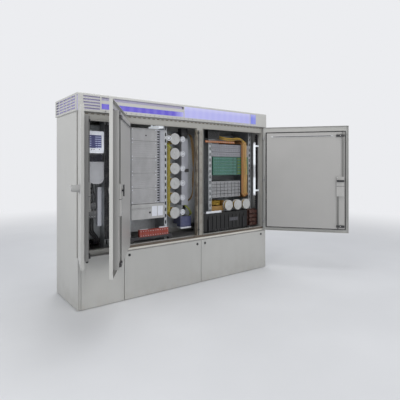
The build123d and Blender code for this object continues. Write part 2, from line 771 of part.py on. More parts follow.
def cord(radius, start, *points, bend):
    """A round cord through the points, with every corner turned on the bend's radius."""
    with BuildPart(mode=Mode.PRIVATE) as run:
        with BuildLine():
            path = FilletPolyline(start, *points, radius=bend)
        with BuildSketch(Plane(origin=path @ 0, z_dir=path % 0)):
            Circle(radius)
        sweep(path=path)
    ideal = math.pi * radius ** 2 * path.length
    print(f"cord radius {radius}, bend {bend}, length {path.length:.1f}, "
          f"volume share {run.part.volume / ideal:.4f}")
    return run.part


supply_radius = 5.5
supply_bend = 25.0
supply_pitch = 15.0
supply_x = [sum(breaker_x) / 2 + step * supply_pitch for step in (-1, 0, 1)]
supply_shift = gland_places[0][0] - supply_x[1]
supply_drop = 95.0
supply_step = 40.0
supply_ease = 13.0
supply_y = breaker_front + 25.0
gland_top = plinth_height + gland_rise
supply_run = gland_top + supply_bend + supply_ease

with BuildPart() as power_cables:
    for x in supply_x:
        away = x + supply_shift
        add(cord(supply_radius, (x, supply_y, breaker_z[0]), (x, supply_y, breaker_z[0] - supply_drop),
                 (away, supply_y, supply_run + supply_step), (away, supply_y, supply_run),
                 (away, gland_y, supply_run), (away, gland_y, gland_top), bend=supply_bend))
keep(power_cables, "power_cables")

# Middle bay: splice modules, ducts, a splice box, bend drums, and terminals on a stand
module_x = (across(1, 0.1407), across(1, 0.4625))
module_front = front + 86.0
module_levels = [rack_level(units) for units in (7.266, 9.965, 12.563, 15.162, 18.108, 20.358)]
module_gap = 2.0
module_grooves = 7
module_groove = 3.0
splice_box_x = (across(1, 0.1407), across(1, 0.5592))
splice_box_z = (rack_level(4.544), rack_level(7.176))
slot_strip_x = (across(1, 0.4654), across(1, 0.5))
grey_strip_x = (across(1, 0.5058), across(1, 0.5592))
strip_z = (rack_level(7.266), rack_level(20.223))
strip_front = front + 88.0
strip_slot = 12.0
strip_pitch = 20.0
tall_duct_x = (across(1, 0.8434), across(1, 0.9372))
tall_duct_z = (rack_level(6.344), rack_level(18.918))
tall_duct_front = front + 130.0
small_duct_x = (across(0, 0.5604), across(0, 0.6498))
small_duct_z = (rack_level(4.004), rack_level(10.348))
small_duct_front = front + 130.0
duct_lid = 8.0
duct_lip = 2.0

with BuildPart() as termination_modules:
    for low, high in zip(module_levels, module_levels[1:]):
        block(module_x, (module_front, plate_front_2), (low, high - module_gap))
    for low, high in zip(module_levels, module_levels[1:-1]):
        for step in range(module_grooves):
            level = low + (step + 1) * (high - low) / (module_grooves + 1)
            block(module_x, (module_front, module_front + module_groove),
                  (level - module_gap / 2, level + module_gap / 2), Mode.SUBTRACT)
keep(termination_modules, "termination_modules")

with BuildPart() as splice_box:
    block(splice_box_x, (module_front, plate_front_2), splice_box_z)
    fillet(splice_box.edges().filter_by(Axis.Y), meter_round)
    fillet(splice_box.faces().sort_by(Axis.Y)[0].edges(), sheet)
keep(splice_box, "splice_box")

with BuildPart() as cable_ducts:
    block(slot_strip_x, (strip_front, plate_front_2), strip_z)
    level = strip_z[0] + strip_slot
    while level < strip_z[1] - strip_slot:
        block((slot_strip_x[0] + duct_lip, slot_strip_x[1] - duct_lip), (strip_front, strip_front + duct_lid),
              (level, level + strip_slot), Mode.SUBTRACT)
        level += strip_pitch
    block(grey_strip_x, (strip_front, plate_front_2), strip_z)
    for x_pair, y_front, y_back, z_pair in (
            (tall_duct_x, tall_duct_front, plate_front_2, tall_duct_z),
            (small_duct_x, small_duct_front, plate_front_1, small_duct_z)):
        block(x_pair, (y_front, y_front + duct_lid), z_pair)
        block((x_pair[0] + duct_lip, x_pair[1] - duct_lip), (y_front + duct_lid, y_back), z_pair)
keep(cable_ducts, "cable_ducts")

drum_radius = 47.0
drum_core_radius = 38.0
drum_flange = 5.0
drum_stem_radius = 10.0
drum_front_2 = front + 110.0
drum_back_2 = front + 180.0
drum_x_2 = across(1, 0.7309)
drum_levels_2 = [rack_level(units) for units in (18.783, 16.039, 13.294, 10.55, 7.828, 5.106)]
drum_front_3 = front + 84.0
drum_back_3 = front + 117.0
drum_level_3 = rack_level(5.714)
drum_places_3 = (across(2, 0.4971), across(2, 0.641), across(2, 0.7835))
drum_rows = (
    ([(drum_x_2, level) for level in drum_levels_2], drum_front_2, drum_back_2, plate_front_2),
    ([(x, drum_level_3) for x in drum_places_3], drum_front_3, drum_back_3, plate_front_3),
)

with BuildPart() as bend_drums:
    for places, drum_front, drum_back, plate in drum_rows:
        for radius, near, far in ((drum_radius, drum_front, drum_front + drum_flange),
                                  (drum_core_radius, drum_front, drum_back),
                                  (drum_radius, drum_back - drum_flange, drum_back),
                                  (drum_stem_radius, drum_front, plate)):
            with BuildSketch(Plane.XZ.offset(-near)):
                with Locations(*places):
                    Circle(radius)
            extrude(amount=near - far)
keep(bend_drums, "bend_drums")

stand_x = (across(1, 0.1061), across(1, 0.64))
stand_y = (front + 60.0, front + 88.0)
stand_z = (rack_level(1.17), rack_level(1.62))
stand_leg = 30.0
terminal_x = (across(1, 0.2229), across(1, 0.5909))
terminal_y = (front + 60.0, front + 88.0)
terminal_z = (rack_level(1.62), rack_level(2.812))
terminal_count = 12
terminal_gap = 2.0
terminal_deep = 18.0

with BuildPart() as terminal_block:
    block(stand_x, stand_y, stand_z)
    for x_low in (stand_x[0], stand_x[1] - stand_leg):
        block((x_low, x_low + stand_leg), stand_y, (plinth_height, stand_z[0]))
    block(terminal_x, terminal_y, terminal_z)
    terminal_step = (terminal_x[1] - terminal_x[0]) / terminal_count
    for step in range(1, terminal_count):
        x = terminal_x[0] + step * terminal_step
        block((x - terminal_gap / 2, x + terminal_gap / 2), (terminal_y[0], terminal_y[0] + terminal_deep),
              (terminal_z[0] + terminal_gap, terminal_z[1]), Mode.SUBTRACT)
keep(terminal_block, "terminal_block")

# Work lamps: one hung under the roof plate, one upright on the right side
lamp_box_x = (across(1, 0.4654), across(1, 0.526))
lamp_box_y = (front + 60.0, front + 225.0)
lamp_box_z = (rack_level(20.448), rack_level(20.943))
lamp_round = 4.0
hanger = 12.0
tube_radius = 11.0
tube_x = across(2, 0.9196)
tube_y = front + 84.0
tube_z = (rack_level(7.423), rack_level(18.828))
tube_clips = (rack_level(8.256), rack_level(17.928))
clip_height = 16.0

with BuildPart() as work_lamps:
    block(lamp_box_x, lamp_box_y, lamp_box_z)
    fillet(work_lamps.faces().sort_by(Axis.Z)[0].edges(), lamp_round)
    lamp_middle = sum(lamp_box_x) / 2
    for y in (lamp_box_y[0] + hanger, lamp_box_y[1] - 2 * hanger):
        block((lamp_middle - hanger / 2, lamp_middle + hanger / 2), (y, y + hanger),
              (lamp_box_z[1], roof_bottom))
    with Locations((tube_x, tube_y, sum(tube_z) / 2)):
        Cylinder(tube_radius, tube_z[1] - tube_z[0])
    for level in tube_clips:
        block((tube_x, right - sheet), (tube_y, tube_y + tube_radius), (level, level + clip_height))
keep(work_lamps, "work_lamps")

# Right bay: rack units, splice panel, patch unit, fibre tray and the power unit
rack_x = (across(2, 0.2754), across(2, 0.8548))
rack_z = [(rack_level(low), rack_level(high))
          for low, high in ((15.679, 16.556), (16.624, 17.389), (17.434, 18.153))]
rack_vents = 20
rack_vent = 8.0
rack_vent_deep = 3.0
panel_x = (across(2, 0.291), across(2, 0.8548))
panel_z = (rack_level(11.9), rack_level(15.589))
panel_ports = 6
port_height = 14.0
port_deep = 10.0
port_margin = 12.0
patch_x = (across(2, 0.2754), across(2, 0.7187))
patch_z = (rack_level(7.356), rack_level(10.64))
patch_rows = 4
patch_slot = 5.0
tray_x = (across(2, 0.2715), across(2, 0.4556))
tray_z = (rack_level(4.656), rack_level(6.681))
tray_wall = 3.0
tray_back = front + 260.0
power_x = (across(2, 0.1005), across(2, 0.7641))
power_y = (front + 62.0, front + 118.0)
power_z = (rack_level(0.787), rack_level(4.476))
power_foot = 22.0
power_fins = 10
power_fin_deep = 6.0

with BuildPart() as rack_units:
    for z_pair in rack_z:
        block(rack_x, (upright_front_3, plate_front_3), z_pair)
        step = (rack_x[1] - rack_x[0]) / (rack_vents + 1)
        with BuildSketch(Plane.XZ.offset(-upright_front_3)):
            with Locations((sum(rack_x) / 2, sum(z_pair) / 2)):
                with GridLocations(step, 1, rack_vents, 1):
                    SlotOverall(2 * rack_vent, rack_vent, rotation=90)
        extrude(amount=-rack_vent_deep, mode=Mode.SUBTRACT)
keep(rack_units, "rack_units")

with BuildPart() as splice_panel:
    block(panel_x, (upright_front_3, plate_front_3), panel_z)
    port_pitch = (panel_z[1] - panel_z[0]) / panel_ports
    for row in range(panel_ports):
        level = panel_z[0] + (row + 1 / 2) * port_pitch
        block((panel_x[0] + port_margin, panel_x[1] - port_margin),
              (upright_front_3, upright_front_3 + port_deep),
              (level - port_height / 2, level + port_height / 2), Mode.SUBTRACT)
keep(splice_panel, "splice_panel")

with BuildPart() as patch_unit:
    block(patch_x, (upright_front_3, plate_front_3), patch_z)
    for row in range(1, patch_rows + 1):
        level = patch_z[0] + row * (patch_z[1] - patch_z[0]) / (patch_rows + 1)
        block(patch_x, (upright_front_3, upright_front_3 + port_deep), (level, level + patch_slot),
              Mode.SUBTRACT)
keep(patch_unit, "patch_unit")

with BuildPart() as fibre_tray:
    block(tray_x, (upright_front_3, tray_back), tray_z)
    block((tray_x[0] + tray_wall, tray_x[1] - tray_wall), (upright_front_3, tray_back - tray_wall),
          (tray_z[0] + tray_wall, tray_z[1]), Mode.SUBTRACT)
    block((tray_x[0] + tray_wall, tray_x[1] - tray_wall), (upright_front_3, upright_front_3 + tray_wall),
          (tray_z[0], sum(tray_z) / 2))
    block((tray_x[0], tray_x[0] + 2 * tray_wall), (tray_back - tray_wall, plate_front_3), tray_z)
    block((tray_x[1] - 2 * tray_wall, tray_x[1]), (tray_back - tray_wall, plate_front_3), tray_z)
keep(fibre_tray, "fibre_tray")

with BuildPart() as power_unit:
    block(power_x, power_y, power_z)
    fin_step = (power_x[1] - power_x[0]) / (power_fins + 1)
    for fin in range(1, power_fins + 1):
        x = power_x[0] + fin * fin_step
        block((x - power_fin_deep / 2, x + power_fin_deep / 2), (power_y[0], power_y[0] + power_fin_deep),
              (power_z[0] + power_foot, power_z[1] - power_foot), Mode.SUBTRACT)
    for x_low in (power_x[0], power_x[1] - power_foot):
        for y_low in (power_y[0], power_y[1] - power_foot):
            block((x_low, x_low + power_foot), (y_low, y_low + power_foot), (plinth_height, power_z[0]))
keep(power_unit, "power_unit")

# Fibre bundles: each cord leaves its plate, runs down in front of the gear and returns to the plate
fibre_bend = 30.0
orange_radius = 8.0
orange_x = across(2, 0.7356)
orange_y = front + 107.0
orange_top = rack_level(18.603)
orange_turn = rack_level(7.806)
orange_foot = rack_level(7.176)
orange_clear = 2.0
orange_step = (17.0, 10.0)
orange_count = 3
orange_room = (orange_count - 1) * orange_step[0] + orange_radius + orange_clear
orange_shift = bay_uprights[-1][0][0] - orange_x - orange_room
yellow_radius = 6.0
yellow_x = (across(1, 0.6198), across(1, 0.6414))
yellow_y = front + 100.0
yellow_z = (rack_level(17.928), rack_level(4.994))

with BuildPart() as fibre_bundles:
    for number in range(orange_count):
        x = orange_x + number * orange_step[0]
        rise = number * orange_step[1]
        add(cord(orange_radius, (x, plate_front_3, orange_top + rise), (x, orange_y, orange_top + rise),
                 (x, orange_y, orange_turn + rise), (x + orange_shift, orange_y, orange_foot + rise),
                 (x + orange_shift, plate_front_3, orange_foot + rise), bend=fibre_bend))
    for x in yellow_x:
        add(cord(yellow_radius, (x, plate_front_2, yellow_z[0]), (x, yellow_y, yellow_z[0]),
                 (x, yellow_y, yellow_z[1]), (x, plate_front_2, yellow_z[1]), bend=fibre_bend))
keep(fibre_bundles, "fibre_bundles")
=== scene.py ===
import json
import math
import random

import bmesh
import bpy
from mathutils import Matrix, Vector


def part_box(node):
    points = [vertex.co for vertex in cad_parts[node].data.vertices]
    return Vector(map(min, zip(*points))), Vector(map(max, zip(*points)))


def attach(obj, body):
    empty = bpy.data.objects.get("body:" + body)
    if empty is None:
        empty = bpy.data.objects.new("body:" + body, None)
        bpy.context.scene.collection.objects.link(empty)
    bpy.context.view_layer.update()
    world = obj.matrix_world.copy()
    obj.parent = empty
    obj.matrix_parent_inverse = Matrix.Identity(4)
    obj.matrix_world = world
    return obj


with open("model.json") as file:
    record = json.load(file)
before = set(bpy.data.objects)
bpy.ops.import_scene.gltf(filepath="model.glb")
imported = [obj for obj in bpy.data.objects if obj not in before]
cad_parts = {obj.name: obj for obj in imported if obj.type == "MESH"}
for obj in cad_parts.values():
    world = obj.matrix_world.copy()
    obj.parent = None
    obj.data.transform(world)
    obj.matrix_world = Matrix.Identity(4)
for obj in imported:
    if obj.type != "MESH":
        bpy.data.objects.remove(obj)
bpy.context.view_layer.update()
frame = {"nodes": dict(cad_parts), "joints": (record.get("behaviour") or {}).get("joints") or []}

nodes = frame["nodes"]
random.seed(7)


# The studio: a wide pale floor that fades into a pale backdrop, and soft lamps round the cabinet.
# None of it is part of the cabinet.
class Wire:
    """A value or colour that varies over a surface; sums on it add Math nodes to its owner's tree."""

    def __init__(self, owner, socket):
        self.owner = owner
        self.socket = socket

    def math(self, operation, first, second=0.0):
        return self.owner.node("ShaderNodeMath", {"operation": operation}, {0: first, 1: second})

    def __add__(self, other):
        return self.math("ADD", self, other)

    def __mul__(self, other):
        return self.math("MULTIPLY", self, other)

    def __sub__(self, other):
        return self.math("SUBTRACT", self, other)

    def __rsub__(self, other):
        return self.math("SUBTRACT", other, self)

    __radd__ = __add__
    __rmul__ = __mul__

    def above(self, limit):
        """1 where the value is over the limit, else 0."""
        return self.math("GREATER_THAN", self, limit)

    def between(self, low, high):
        """1 where the value is over the first limit and not over the second, else 0."""
        return self.above(low) * (1 - self.above(high))

    def rise(self, low, high):
        """0 up to low, 1 from high on, and smooth between them."""
        settings = {"interpolation_type": "SMOOTHSTEP"}
        return self.owner.node("ShaderNodeMapRange", settings, {0: self, 1: low, 2: high})

    def wave(self, rate):
        """A sine along the value, which turns by rate radians in each metre."""
        return self.owner.node("ShaderNodeMath", {"operation": "SINE"}, {0: self * rate})

    def largest(self, other):
        return self.math("MAXIMUM", self, other)

    def output(self, key):
        """Another output of the same node."""
        return Wire(self.owner, self.socket.node.outputs[key])


class Shading:
    """A node tree, which every node joins in one way."""

    def __init__(self, tree):
        self.tree = tree

    def node(self, kind, settings=None, sockets=None, out=0):
        """Any node: its settings are made first, then the values or links of its sockets."""
        made = self.tree.nodes.new(kind)
        for name, value in (settings or {}).items():
            setattr(made, name, value)
        for key, value in (sockets or {}).items():
            self.feed(made.inputs[key], value)
        return Wire(self, made.outputs[out])

    def feed(self, socket, value):
        """Links a varying value to a socket, or sets a constant on it."""
        if isinstance(value, Wire):
            self.tree.links.new(value.socket, socket)
        else:
            socket.default_value = value


class Finish(Shading):
    """A material built round one Principled shader; places are metres in the cabinet's own frame."""

    def __init__(self, name):
        self.material = bpy.data.materials.new(name)
        self.material.use_nodes = True
        super().__init__(self.material.node_tree)
        self.shader = self.tree.nodes["Principled BSDF"]
        self.place = self.node("ShaderNodeTexCoord", out="Object")
        parts = self.node("ShaderNodeSeparateXYZ", None, {0: self.place})
        self.x, self.y, self.z = (parts.output(axis) for axis in range(3))

    def noise(self, scale, detail=2.0, stretch=(1.0, 1.0, 1.0)):
        """Soft random patches, about 1 / scale metres across, drawn out along an axis by its stretch."""
        where = self.node("ShaderNodeVectorMath", {"operation": "MULTIPLY"}, {0: self.place, 1: stretch})
        return self.node("ShaderNodeTexNoise", None, {"Vector": where, "Scale": scale, "Detail": detail})

    def mix(self, share, first, second):
        """The first colour, or the second by its share."""
        return self.node("ShaderNodeMix", {"data_type": "RGBA"}, {0: share, 6: first, 7: second}, out=2)

    def edges(self, width):
        """1 along the edges, within a width of them, and 0 on flat faces."""
        softened = self.node("ShaderNodeBevel", {"samples": 4}, {"Radius": width})
        true = self.node("ShaderNodeNewGeometry", out="Normal")
        settings = {"operation": "DOT_PRODUCT"}
        alike = self.node("ShaderNodeVectorMath", settings, {0: softened, 1: true}, out="Value")
        return alike.rise(0.985, 0.85)

    def surface(self, relief=None, depth=0.0001, **sockets):
        """Sets the shader's sockets, named with _ for spaces, and a bump of a depth in metres."""
        for name, value in sockets.items():
            self.feed(self.shader.inputs[name.replace("_", " ")], value)
        if relief is not None:
            bump = {"Strength": 0.6, "Distance": depth, "Height": relief}
            self.feed(self.shader.inputs["Normal"], self.node("ShaderNodeBump", None, bump))
        return self


def tint(red, green, blue):
    """A colour as a picture shows it, 0 to 255 a channel, turned to the light that it stands for."""
    def channel(value):
        value /= 255
        return value / 12.92 if value <= 0.04045 else ((value + 0.055) / 1.055) ** 2.4
    return channel(red), channel(green), channel(blue), 1.0


backdrop = tint(236, 237, 240)
floor_colours = (tint(214, 215, 217), tint(219, 220, 222))
floor_half = 30.0
fade_near, fade_far = 1.9, 6.0

floor_mesh = bpy.data.meshes.new("studio_floor")
corners = [(x * floor_half, y * floor_half, 0) for x, y in ((-1, -1), (1, -1), (1, 1), (-1, 1))]
floor_mesh.from_pydata(corners, [], [(0, 1, 2, 3)])
studio_floor = bpy.data.objects.new("studio_floor", floor_mesh)
bpy.context.scene.collection.objects.link(studio_floor)
floor_finish = Finish("studio_floor")
floor_finish.surface(
    Base_Color=floor_finish.mix(floor_finish.noise(1.2, 3.0).rise(0.3, 0.7), *floor_colours),
    Roughness=floor_finish.noise(30.0, 3.0) * 0.1 + 0.5)
settings = {"operation": "LENGTH"}
distance = floor_finish.node("ShaderNodeVectorMath", settings, {0: floor_finish.place}, out="Value")
painted = Wire(floor_finish, floor_finish.shader.outputs[0])
faded = floor_finish.node("ShaderNodeEmission", None, {"Color": backdrop, "Strength": 1.0})
shares = {0: distance.rise(fade_near, fade_far), 1: painted, 2: faded}
floor_output = floor_finish.tree.nodes["Material Output"]
floor_finish.feed(floor_output.inputs["Surface"], floor_finish.node("ShaderNodeMixShader", None, shares))
floor_mesh.materials.append(floor_finish.material)

world = bpy.data.worlds.new("studio_world")
world.use_nodes = True
bpy.context.scene.world = world
sky = Shading(world.node_tree)
rays = sky.node("ShaderNodeLightPath")
to_camera, to_glass, to_gloss = (
    rays.output(f"Is {kind} Ray") for kind in ("Camera", "Transmission", "Glossy"))
ambient = sky.node("ShaderNodeBackground", None, {"Color": tint(233, 238, 247), "Strength": 0.36})
shown_sky = sky.node("ShaderNodeBackground", None, {"Color": backdrop, "Strength": 1.0})
shares = {0: to_camera.largest(to_glass).largest(to_gloss), 1: ambient, 2: shown_sky}
sky.feed(sky.tree.nodes["World Output"].inputs["Surface"], sky.node("ShaderNodeMixShader", None, shares))


def soft_lamp(name, place, aim, width, height, power, colour):
    """A studio softbox, in metres and watts, that faces a point."""
    lamp = bpy.data.lights.new(name, "AREA")
    lamp.shape = "RECTANGLE"
    lamp.size, lamp.size_y = width, height
    lamp.energy = power
    lamp.color = colour
    stand = bpy.data.objects.new(name, lamp)
    stand.location = place
    stand.rotation_euler = (Vector(aim) - Vector(place)).to_track_quat("-Z", "Y").to_euler()
    bpy.context.scene.collection.objects.link(stand)
    return stand


soft_lamp("lamp_left", (-4.2, -1.6, 2.4), (-0.9, 0, 0.8), 2.6, 2.2, 84, (1.0, 0.99, 0.97))
soft_lamp("lamp_front", (0.9, -4.6, 2.6), (0.1, -0.2, 0.6), 3.6, 2.0, 76, (1.0, 0.985, 0.96))
soft_lamp("lamp_above", (0.2, -0.4, 4.2), (0, 0, 1.2), 3.0, 2.2, 66, (0.97, 0.98, 1.0))
soft_lamp("lamp_behind", (1.8, 3.8, 2.6), (0, 0, 0.8), 2.6, 2.0, 48, (1.0, 1.0, 1.0))

# The camera stands level at the photograph's place: left of the cabinet, a little over its locks.
# Its turn, lens and shift are those that were fitted to the cabinet's straight edges.
camera = bpy.data.objects.new("camera", bpy.data.cameras.new("camera"))
camera.location = (-1.7364, -2.6718, 0.9692)
camera.rotation_euler = (math.radians(90), 0, math.radians(-37.24))
camera.data.sensor_width = 36.0
camera.data.lens = 33.27
camera.data.shift_y = -0.0863
bpy.context.scene.collection.objects.link(camera)
bpy.context.scene.camera = camera
bpy.context.scene.view_settings.view_transform = "Standard"


# The sheets one sees: plinth panels, sides, rear panel, canopy and the doors' outer sheets.
# Folded 2 mm steel, zinc coated and then sprayed with light grey textured powder paint, baked hard.
def dress(finish, *names, soften=0.0):
    """Gives CAD pieces a finish, and where asked a small round on their sharp edges, in millimetres."""
    for name in names:
        piece = nodes[name]
        piece.data.materials.clear()
        piece.data.materials.append(finish.material)
        if soften:
            round_edges(piece, soften)


def round_edges(piece, soften, segments=2):
    """Rounds the sharp edges and keeps the big faces evenly shaded."""
    weld = piece.modifiers.new("joined faces", "WELD")
    weld.merge_threshold = 0.00001
    bevel = piece.modifiers.new("soft edges", "BEVEL")
    bevel.width = soften / 1000
    bevel.segments = segments
    bevel.limit_method = "ANGLE"
    bevel.angle_limit = math.radians(35)
    bevel.harden_normals = True
    even = piece.modifiers.new("even faces", "WEIGHTED_NORMAL")
    even.mode = "FACE_AREA"


def powder_coat(name, colour, bare, peel_depth=0.00012, grime=0.14, rough=0.4, part=None):
    """Baked powder paint: orange peel, faint clouds, rain streaks, dust at the foot, bare edges.

    A part is a function of the finish that gives a mask and the colour there.
    """
    made = Finish(name)
    light, dark = (tuple(channel * share for channel in colour[:3]) + (1.0,) for share in (1.025, 0.965))
    clouds = made.noise(3.0, 4.0).rise(0.3, 0.7)
    streaks = made.noise(16.0, 3.0, (1.0, 1.0, 0.08)).rise(0.5, 0.8)
    peel = made.noise(420.0, 2.0)
    speck = made.noise(150.0, 2.0).rise(0.62, 0.72)
    foot = made.z.rise(0.2, 0.0) * made.noise(11.0, 5.0).rise(0.3, 0.7)
    chips = made.edges(0.0016) * made.noise(45.0, 3.0).rise(0.42, 0.6)
    tone = made.mix(clouds, dark, light)
    if part:
        mask, there = part(made)
        tone = made.mix(mask, tone, there)
    tone = made.mix(streaks * 0.05, tone, tint(140, 138, 130))
    tone = made.mix(speck * 0.05, tone, tint(120, 118, 112))
    tone = made.mix(foot * grime, tone, tint(128, 118, 102))
    tone = made.mix(chips * 0.4, tone, bare)
    return made.surface(
        Base_Color=tone, Roughness=clouds * 0.05 + peel * 0.1 + (rough - 0.07) + foot * 0.15,
        relief=peel, depth=peel_depth, Specular_IOR_Level=0.45)


paint_bare = tint(222, 223, 222)
body_coat = powder_coat("body_coat", tint(184, 184, 181), paint_bare)
dress(body_coat, "plinth_panel_left", "plinth_panel_middle", "plinth_panel_right", "side_panel_left",
      "side_panel_right", "rear_panel", "door_1_skin", "door_2_skin", "door_3_skin", soften=0.7)
dress(body_coat, "canopy_cover", soften=0.5)

# The rear panel is closed with domed steel screws down both sides and along its top and foot.
# A long hem of the panel lies behind them, so they sit flat on the sheet.
locks = {1: "handle_1", 2: "key_2", 3: "key_3"}
lock_hand = {1: 1, 2: 1, 3: -1}
pivot_depth = 0.008
joints = {joint["name"]: joint for joint in frame["joints"]}
lock_reach = {}


def door_place(number):
    """From a door's own place, in millimetres, to the cabinet's frame, in metres.

    A door's x runs from its pivot to its free edge, y inward from its outer face, and z up.
    Its lock's distance from the pivot goes into lock_reach. Door 3's key turns about an inward axis.
    """
    pivot = Vector(joints[f"door_{number}_swing"]["pos_m"])
    lock = joints[f"{locks[number]}_turn"]
    outward = Vector(lock["axis"]) * lock_hand[number]
    along = Vector(lock["pos_m"]) - pivot
    along.z = 0
    lock_reach[number] = along.length * 1000
    along.normalize()
    corner = pivot + outward * pivot_depth
    columns = Matrix((along, -outward, Vector((0, 0, 1)))).transposed().to_4x4()
    return Matrix.Translation((corner.x, corner.y, 0)) @ columns @ Matrix.Scale(0.001, 4)


door_places = {number: door_place(number) for number in locks}


class Stock:
    """Parts cut and turned one by one, in millimetres, then joined into one piece."""

    def __init__(self, door=None):
        self.mesh = bmesh.new()
        self.place = door_places[door] if door else Matrix.Scale(0.001, 4)
        self.body = f"door_{door}" if door else "cabinet"

    def bar(self, x_pair, y_pair, z_pair):
        """A block between two planes along each axis."""
        made = bmesh.ops.create_cube(self.mesh, size=1.0)["verts"]
        spans = [sorted(pair) for pair in (x_pair, y_pair, z_pair)]
        bmesh.ops.scale(self.mesh, vec=[high - low for low, high in spans], verts=made)
        bmesh.ops.translate(self.mesh, vec=[(low + high) / 2 for low, high in spans], verts=made)
        return self

    def disc(self, x, y_pair, z, radius, top=None, facets=28, upright=False):
        """A turned part between two planes, with its top towards the first of them.

        An upright one lies between two levels instead, and z is then its place along y.
        """
        low, high = y_pair
        made = bmesh.ops.create_cone(
            self.mesh, cap_ends=True, segments=facets, depth=high - low, radius1=radius,
            radius2=radius if top is None else top)["verts"]
        if upright:
            bmesh.ops.translate(self.mesh, vec=(x, z, (low + high) / 2), verts=made)
        else:
            bmesh.ops.rotate(self.mesh, matrix=Matrix.Rotation(math.radians(90), 3, "X"), verts=made)
            bmesh.ops.translate(self.mesh, vec=(x, (low + high) / 2, z), verts=made)
        return self

    def plate(self, x_pair, y_pair, z_pair, radius, window=None):
        """A plate with round corners, with a window cut in it if one is given as (x_pair, z_pair, radius)."""
        loops = [rounded(x_pair, z_pair, radius)]
        if window:
            loops.append(rounded(*window))
        rings = [[self.mesh.verts.new((x, y, z)) for x, z in loop] for loop in loops for y in y_pair]
        walls = [(rings[0], rings[1])]
        if window:
            walls += [(rings[2], rings[3]), (rings[0], rings[2]), (rings[1], rings[3])]
        for one, other in walls:
            for step in range(len(one)):
                after = (step + 1) % len(one)
                self.mesh.faces.new((one[step], one[after], other[after], other[step]))
        if not window:
            self.mesh.faces.new(rings[0])
            self.mesh.faces.new(rings[1])
        return self

    def screw(self, x, y, z, radius=4.0, toward=-1):
        """A domed screw head on a face at y, which faces along -y or, with toward 1, along y."""
        rim, crown = (y + toward * radius * share for share in (0.35, 0.6))
        wide, narrow = radius * 0.9, radius * 0.62
        self.disc(x, sorted((y, rim)), z, radius)
        self.disc(x, sorted((rim, crown)), z, *((wide, narrow) if toward < 0 else (narrow, wide)))
        return self

    def made(self, name, finish, slot, soften=0.4):
        """The joined piece, in its finish, riding on its body."""
        bmesh.ops.transform(self.mesh, matrix=self.place, verts=self.mesh.verts)
        bmesh.ops.recalc_face_normals(self.mesh, faces=self.mesh.faces)
        data = bpy.data.meshes.new(name)
        self.mesh.to_mesh(data)
        self.mesh.free()
        for face in data.polygons:
            face.use_smooth = True
        data.set_sharp_from_angle(angle=math.radians(35))
        return set_in(name, data, finish, self.body, soften)


def rounded(x_pair, z_pair, radius, steps=5):
    """The outline of a rectangle with round corners."""
    points = []
    (west, east), (low, high) = x_pair, z_pair
    for x, z, start in ((east - radius, high - radius, 0), (west + radius, high - radius, 90),
                        (west + radius, low + radius, 180), (east - radius, low + radius, 270)):
        for step in range(steps + 1):
            turn = math.radians(start + 90 * step / steps)
            points.append((x + radius * math.cos(turn), z + radius * math.sin(turn)))
    return points


def set_in(name, data, finish, body, soften):
    """Puts a mesh in the scene with its finish, and fixes it to its body."""
    piece = bpy.data.objects.new(name, data)
    bpy.context.scene.collection.objects.link(piece)
    data.materials.append(finish.material)
    if soften:
        round_edges(piece, soften, segments=1)
    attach(piece, body)
    return piece


rear_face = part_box("rear_panel")[1].y * 1000
rear_columns, rear_rows, rear_screw_radius = (-880, 880), (30, 1300), 6.0
rear_screws = Stock()
for z in range(60, 1301, 155):
    for x in rear_columns:
        rear_screws.screw(x, rear_face, z, rear_screw_radius, toward=1)
for x in range(-660, 661, 220):
    for z in rear_rows:
        rear_screws.screw(x, rear_face, z, rear_screw_radius, toward=1)
rear_screws.made("rear_screws", body_coat, "bright_steel", soften=0.0)

# The frame round the doorways, the roof plate, the floor plate and the wall between the bays.
# Folded and welded sheet with a smoother light grey coat; black rubber pads stop the doors.
sill_start, sill_level, lip_highlight_level, blur = -0.56, 0.386, 0.366, 0.003
post_span, post_stripe_span, post_top = (0.066, 0.158), (0.113, 0.126), 1.261
vent_levels, vent_rate = (1.3195, 1.3265), 157.0


def sill_lip_highlight_vent_shade(made):
    """The brown sill and post at the doorways, the sill's lip as a painted highlight, and painted shade in
    the vents over them.
    """
    over_sill = made.z.rise(sill_level, sill_level + blur)
    sill = made.z.rise(sill_level + blur, sill_level) * made.x.above(sill_start)
    # Painted highlight: the lip under the sill is painted pale, where light catches its edge.
    lip_highlight = made.z.rise(lip_highlight_level + 0.002, lip_highlight_level)
    post = made.x.between(*post_span) * over_sill * made.z.rise(post_top + 0.002, post_top)
    post_dark_stripe = post * made.x.between(*post_stripe_span)
    # Painted shade: the vents are dark slots painted on the frame's top, for the shade in their openings.
    vent_shade = made.x.wave(vent_rate).above(-0.1) * made.z.between(*vent_levels)
    # Here worn only holds colours: brown on the sill, mottled on the post, a dark stripe, and the lip's
    # painted highlight.
    worn = made.mix(lip_highlight, tint(100, 88, 76), tint(232, 230, 222))
    worn = made.mix(post * made.noise(26.0, 4.0).rise(0.35, 0.65), worn, tint(138, 132, 120))
    worn = made.mix(post_dark_stripe, worn, tint(58, 56, 54))
    faint_right = post * (1 - made.x.above(post_stripe_span[0]) * 0.5)
    return sill.largest(vent_shade).largest(faint_right).largest(post_dark_stripe), worn


# The frame's coat carries a painted highlight on the sill's lip and painted shade in the vents' slots.
frame_coat = powder_coat("frame_coat", tint(164, 163, 158), paint_bare, peel_depth=0.00006, grime=0.0,
                         part=sill_lip_highlight_vent_shade)
dress(frame_coat, "front_frame", soften=0.6)
inside_coat = powder_coat("inside_coat", tint(150, 148, 148), paint_bare, peel_depth=0.00006, grime=0.0)
dress(inside_coat, "roof_plate", "bay_partition", soften=0.6)
dress(inside_coat, "floor_plate")


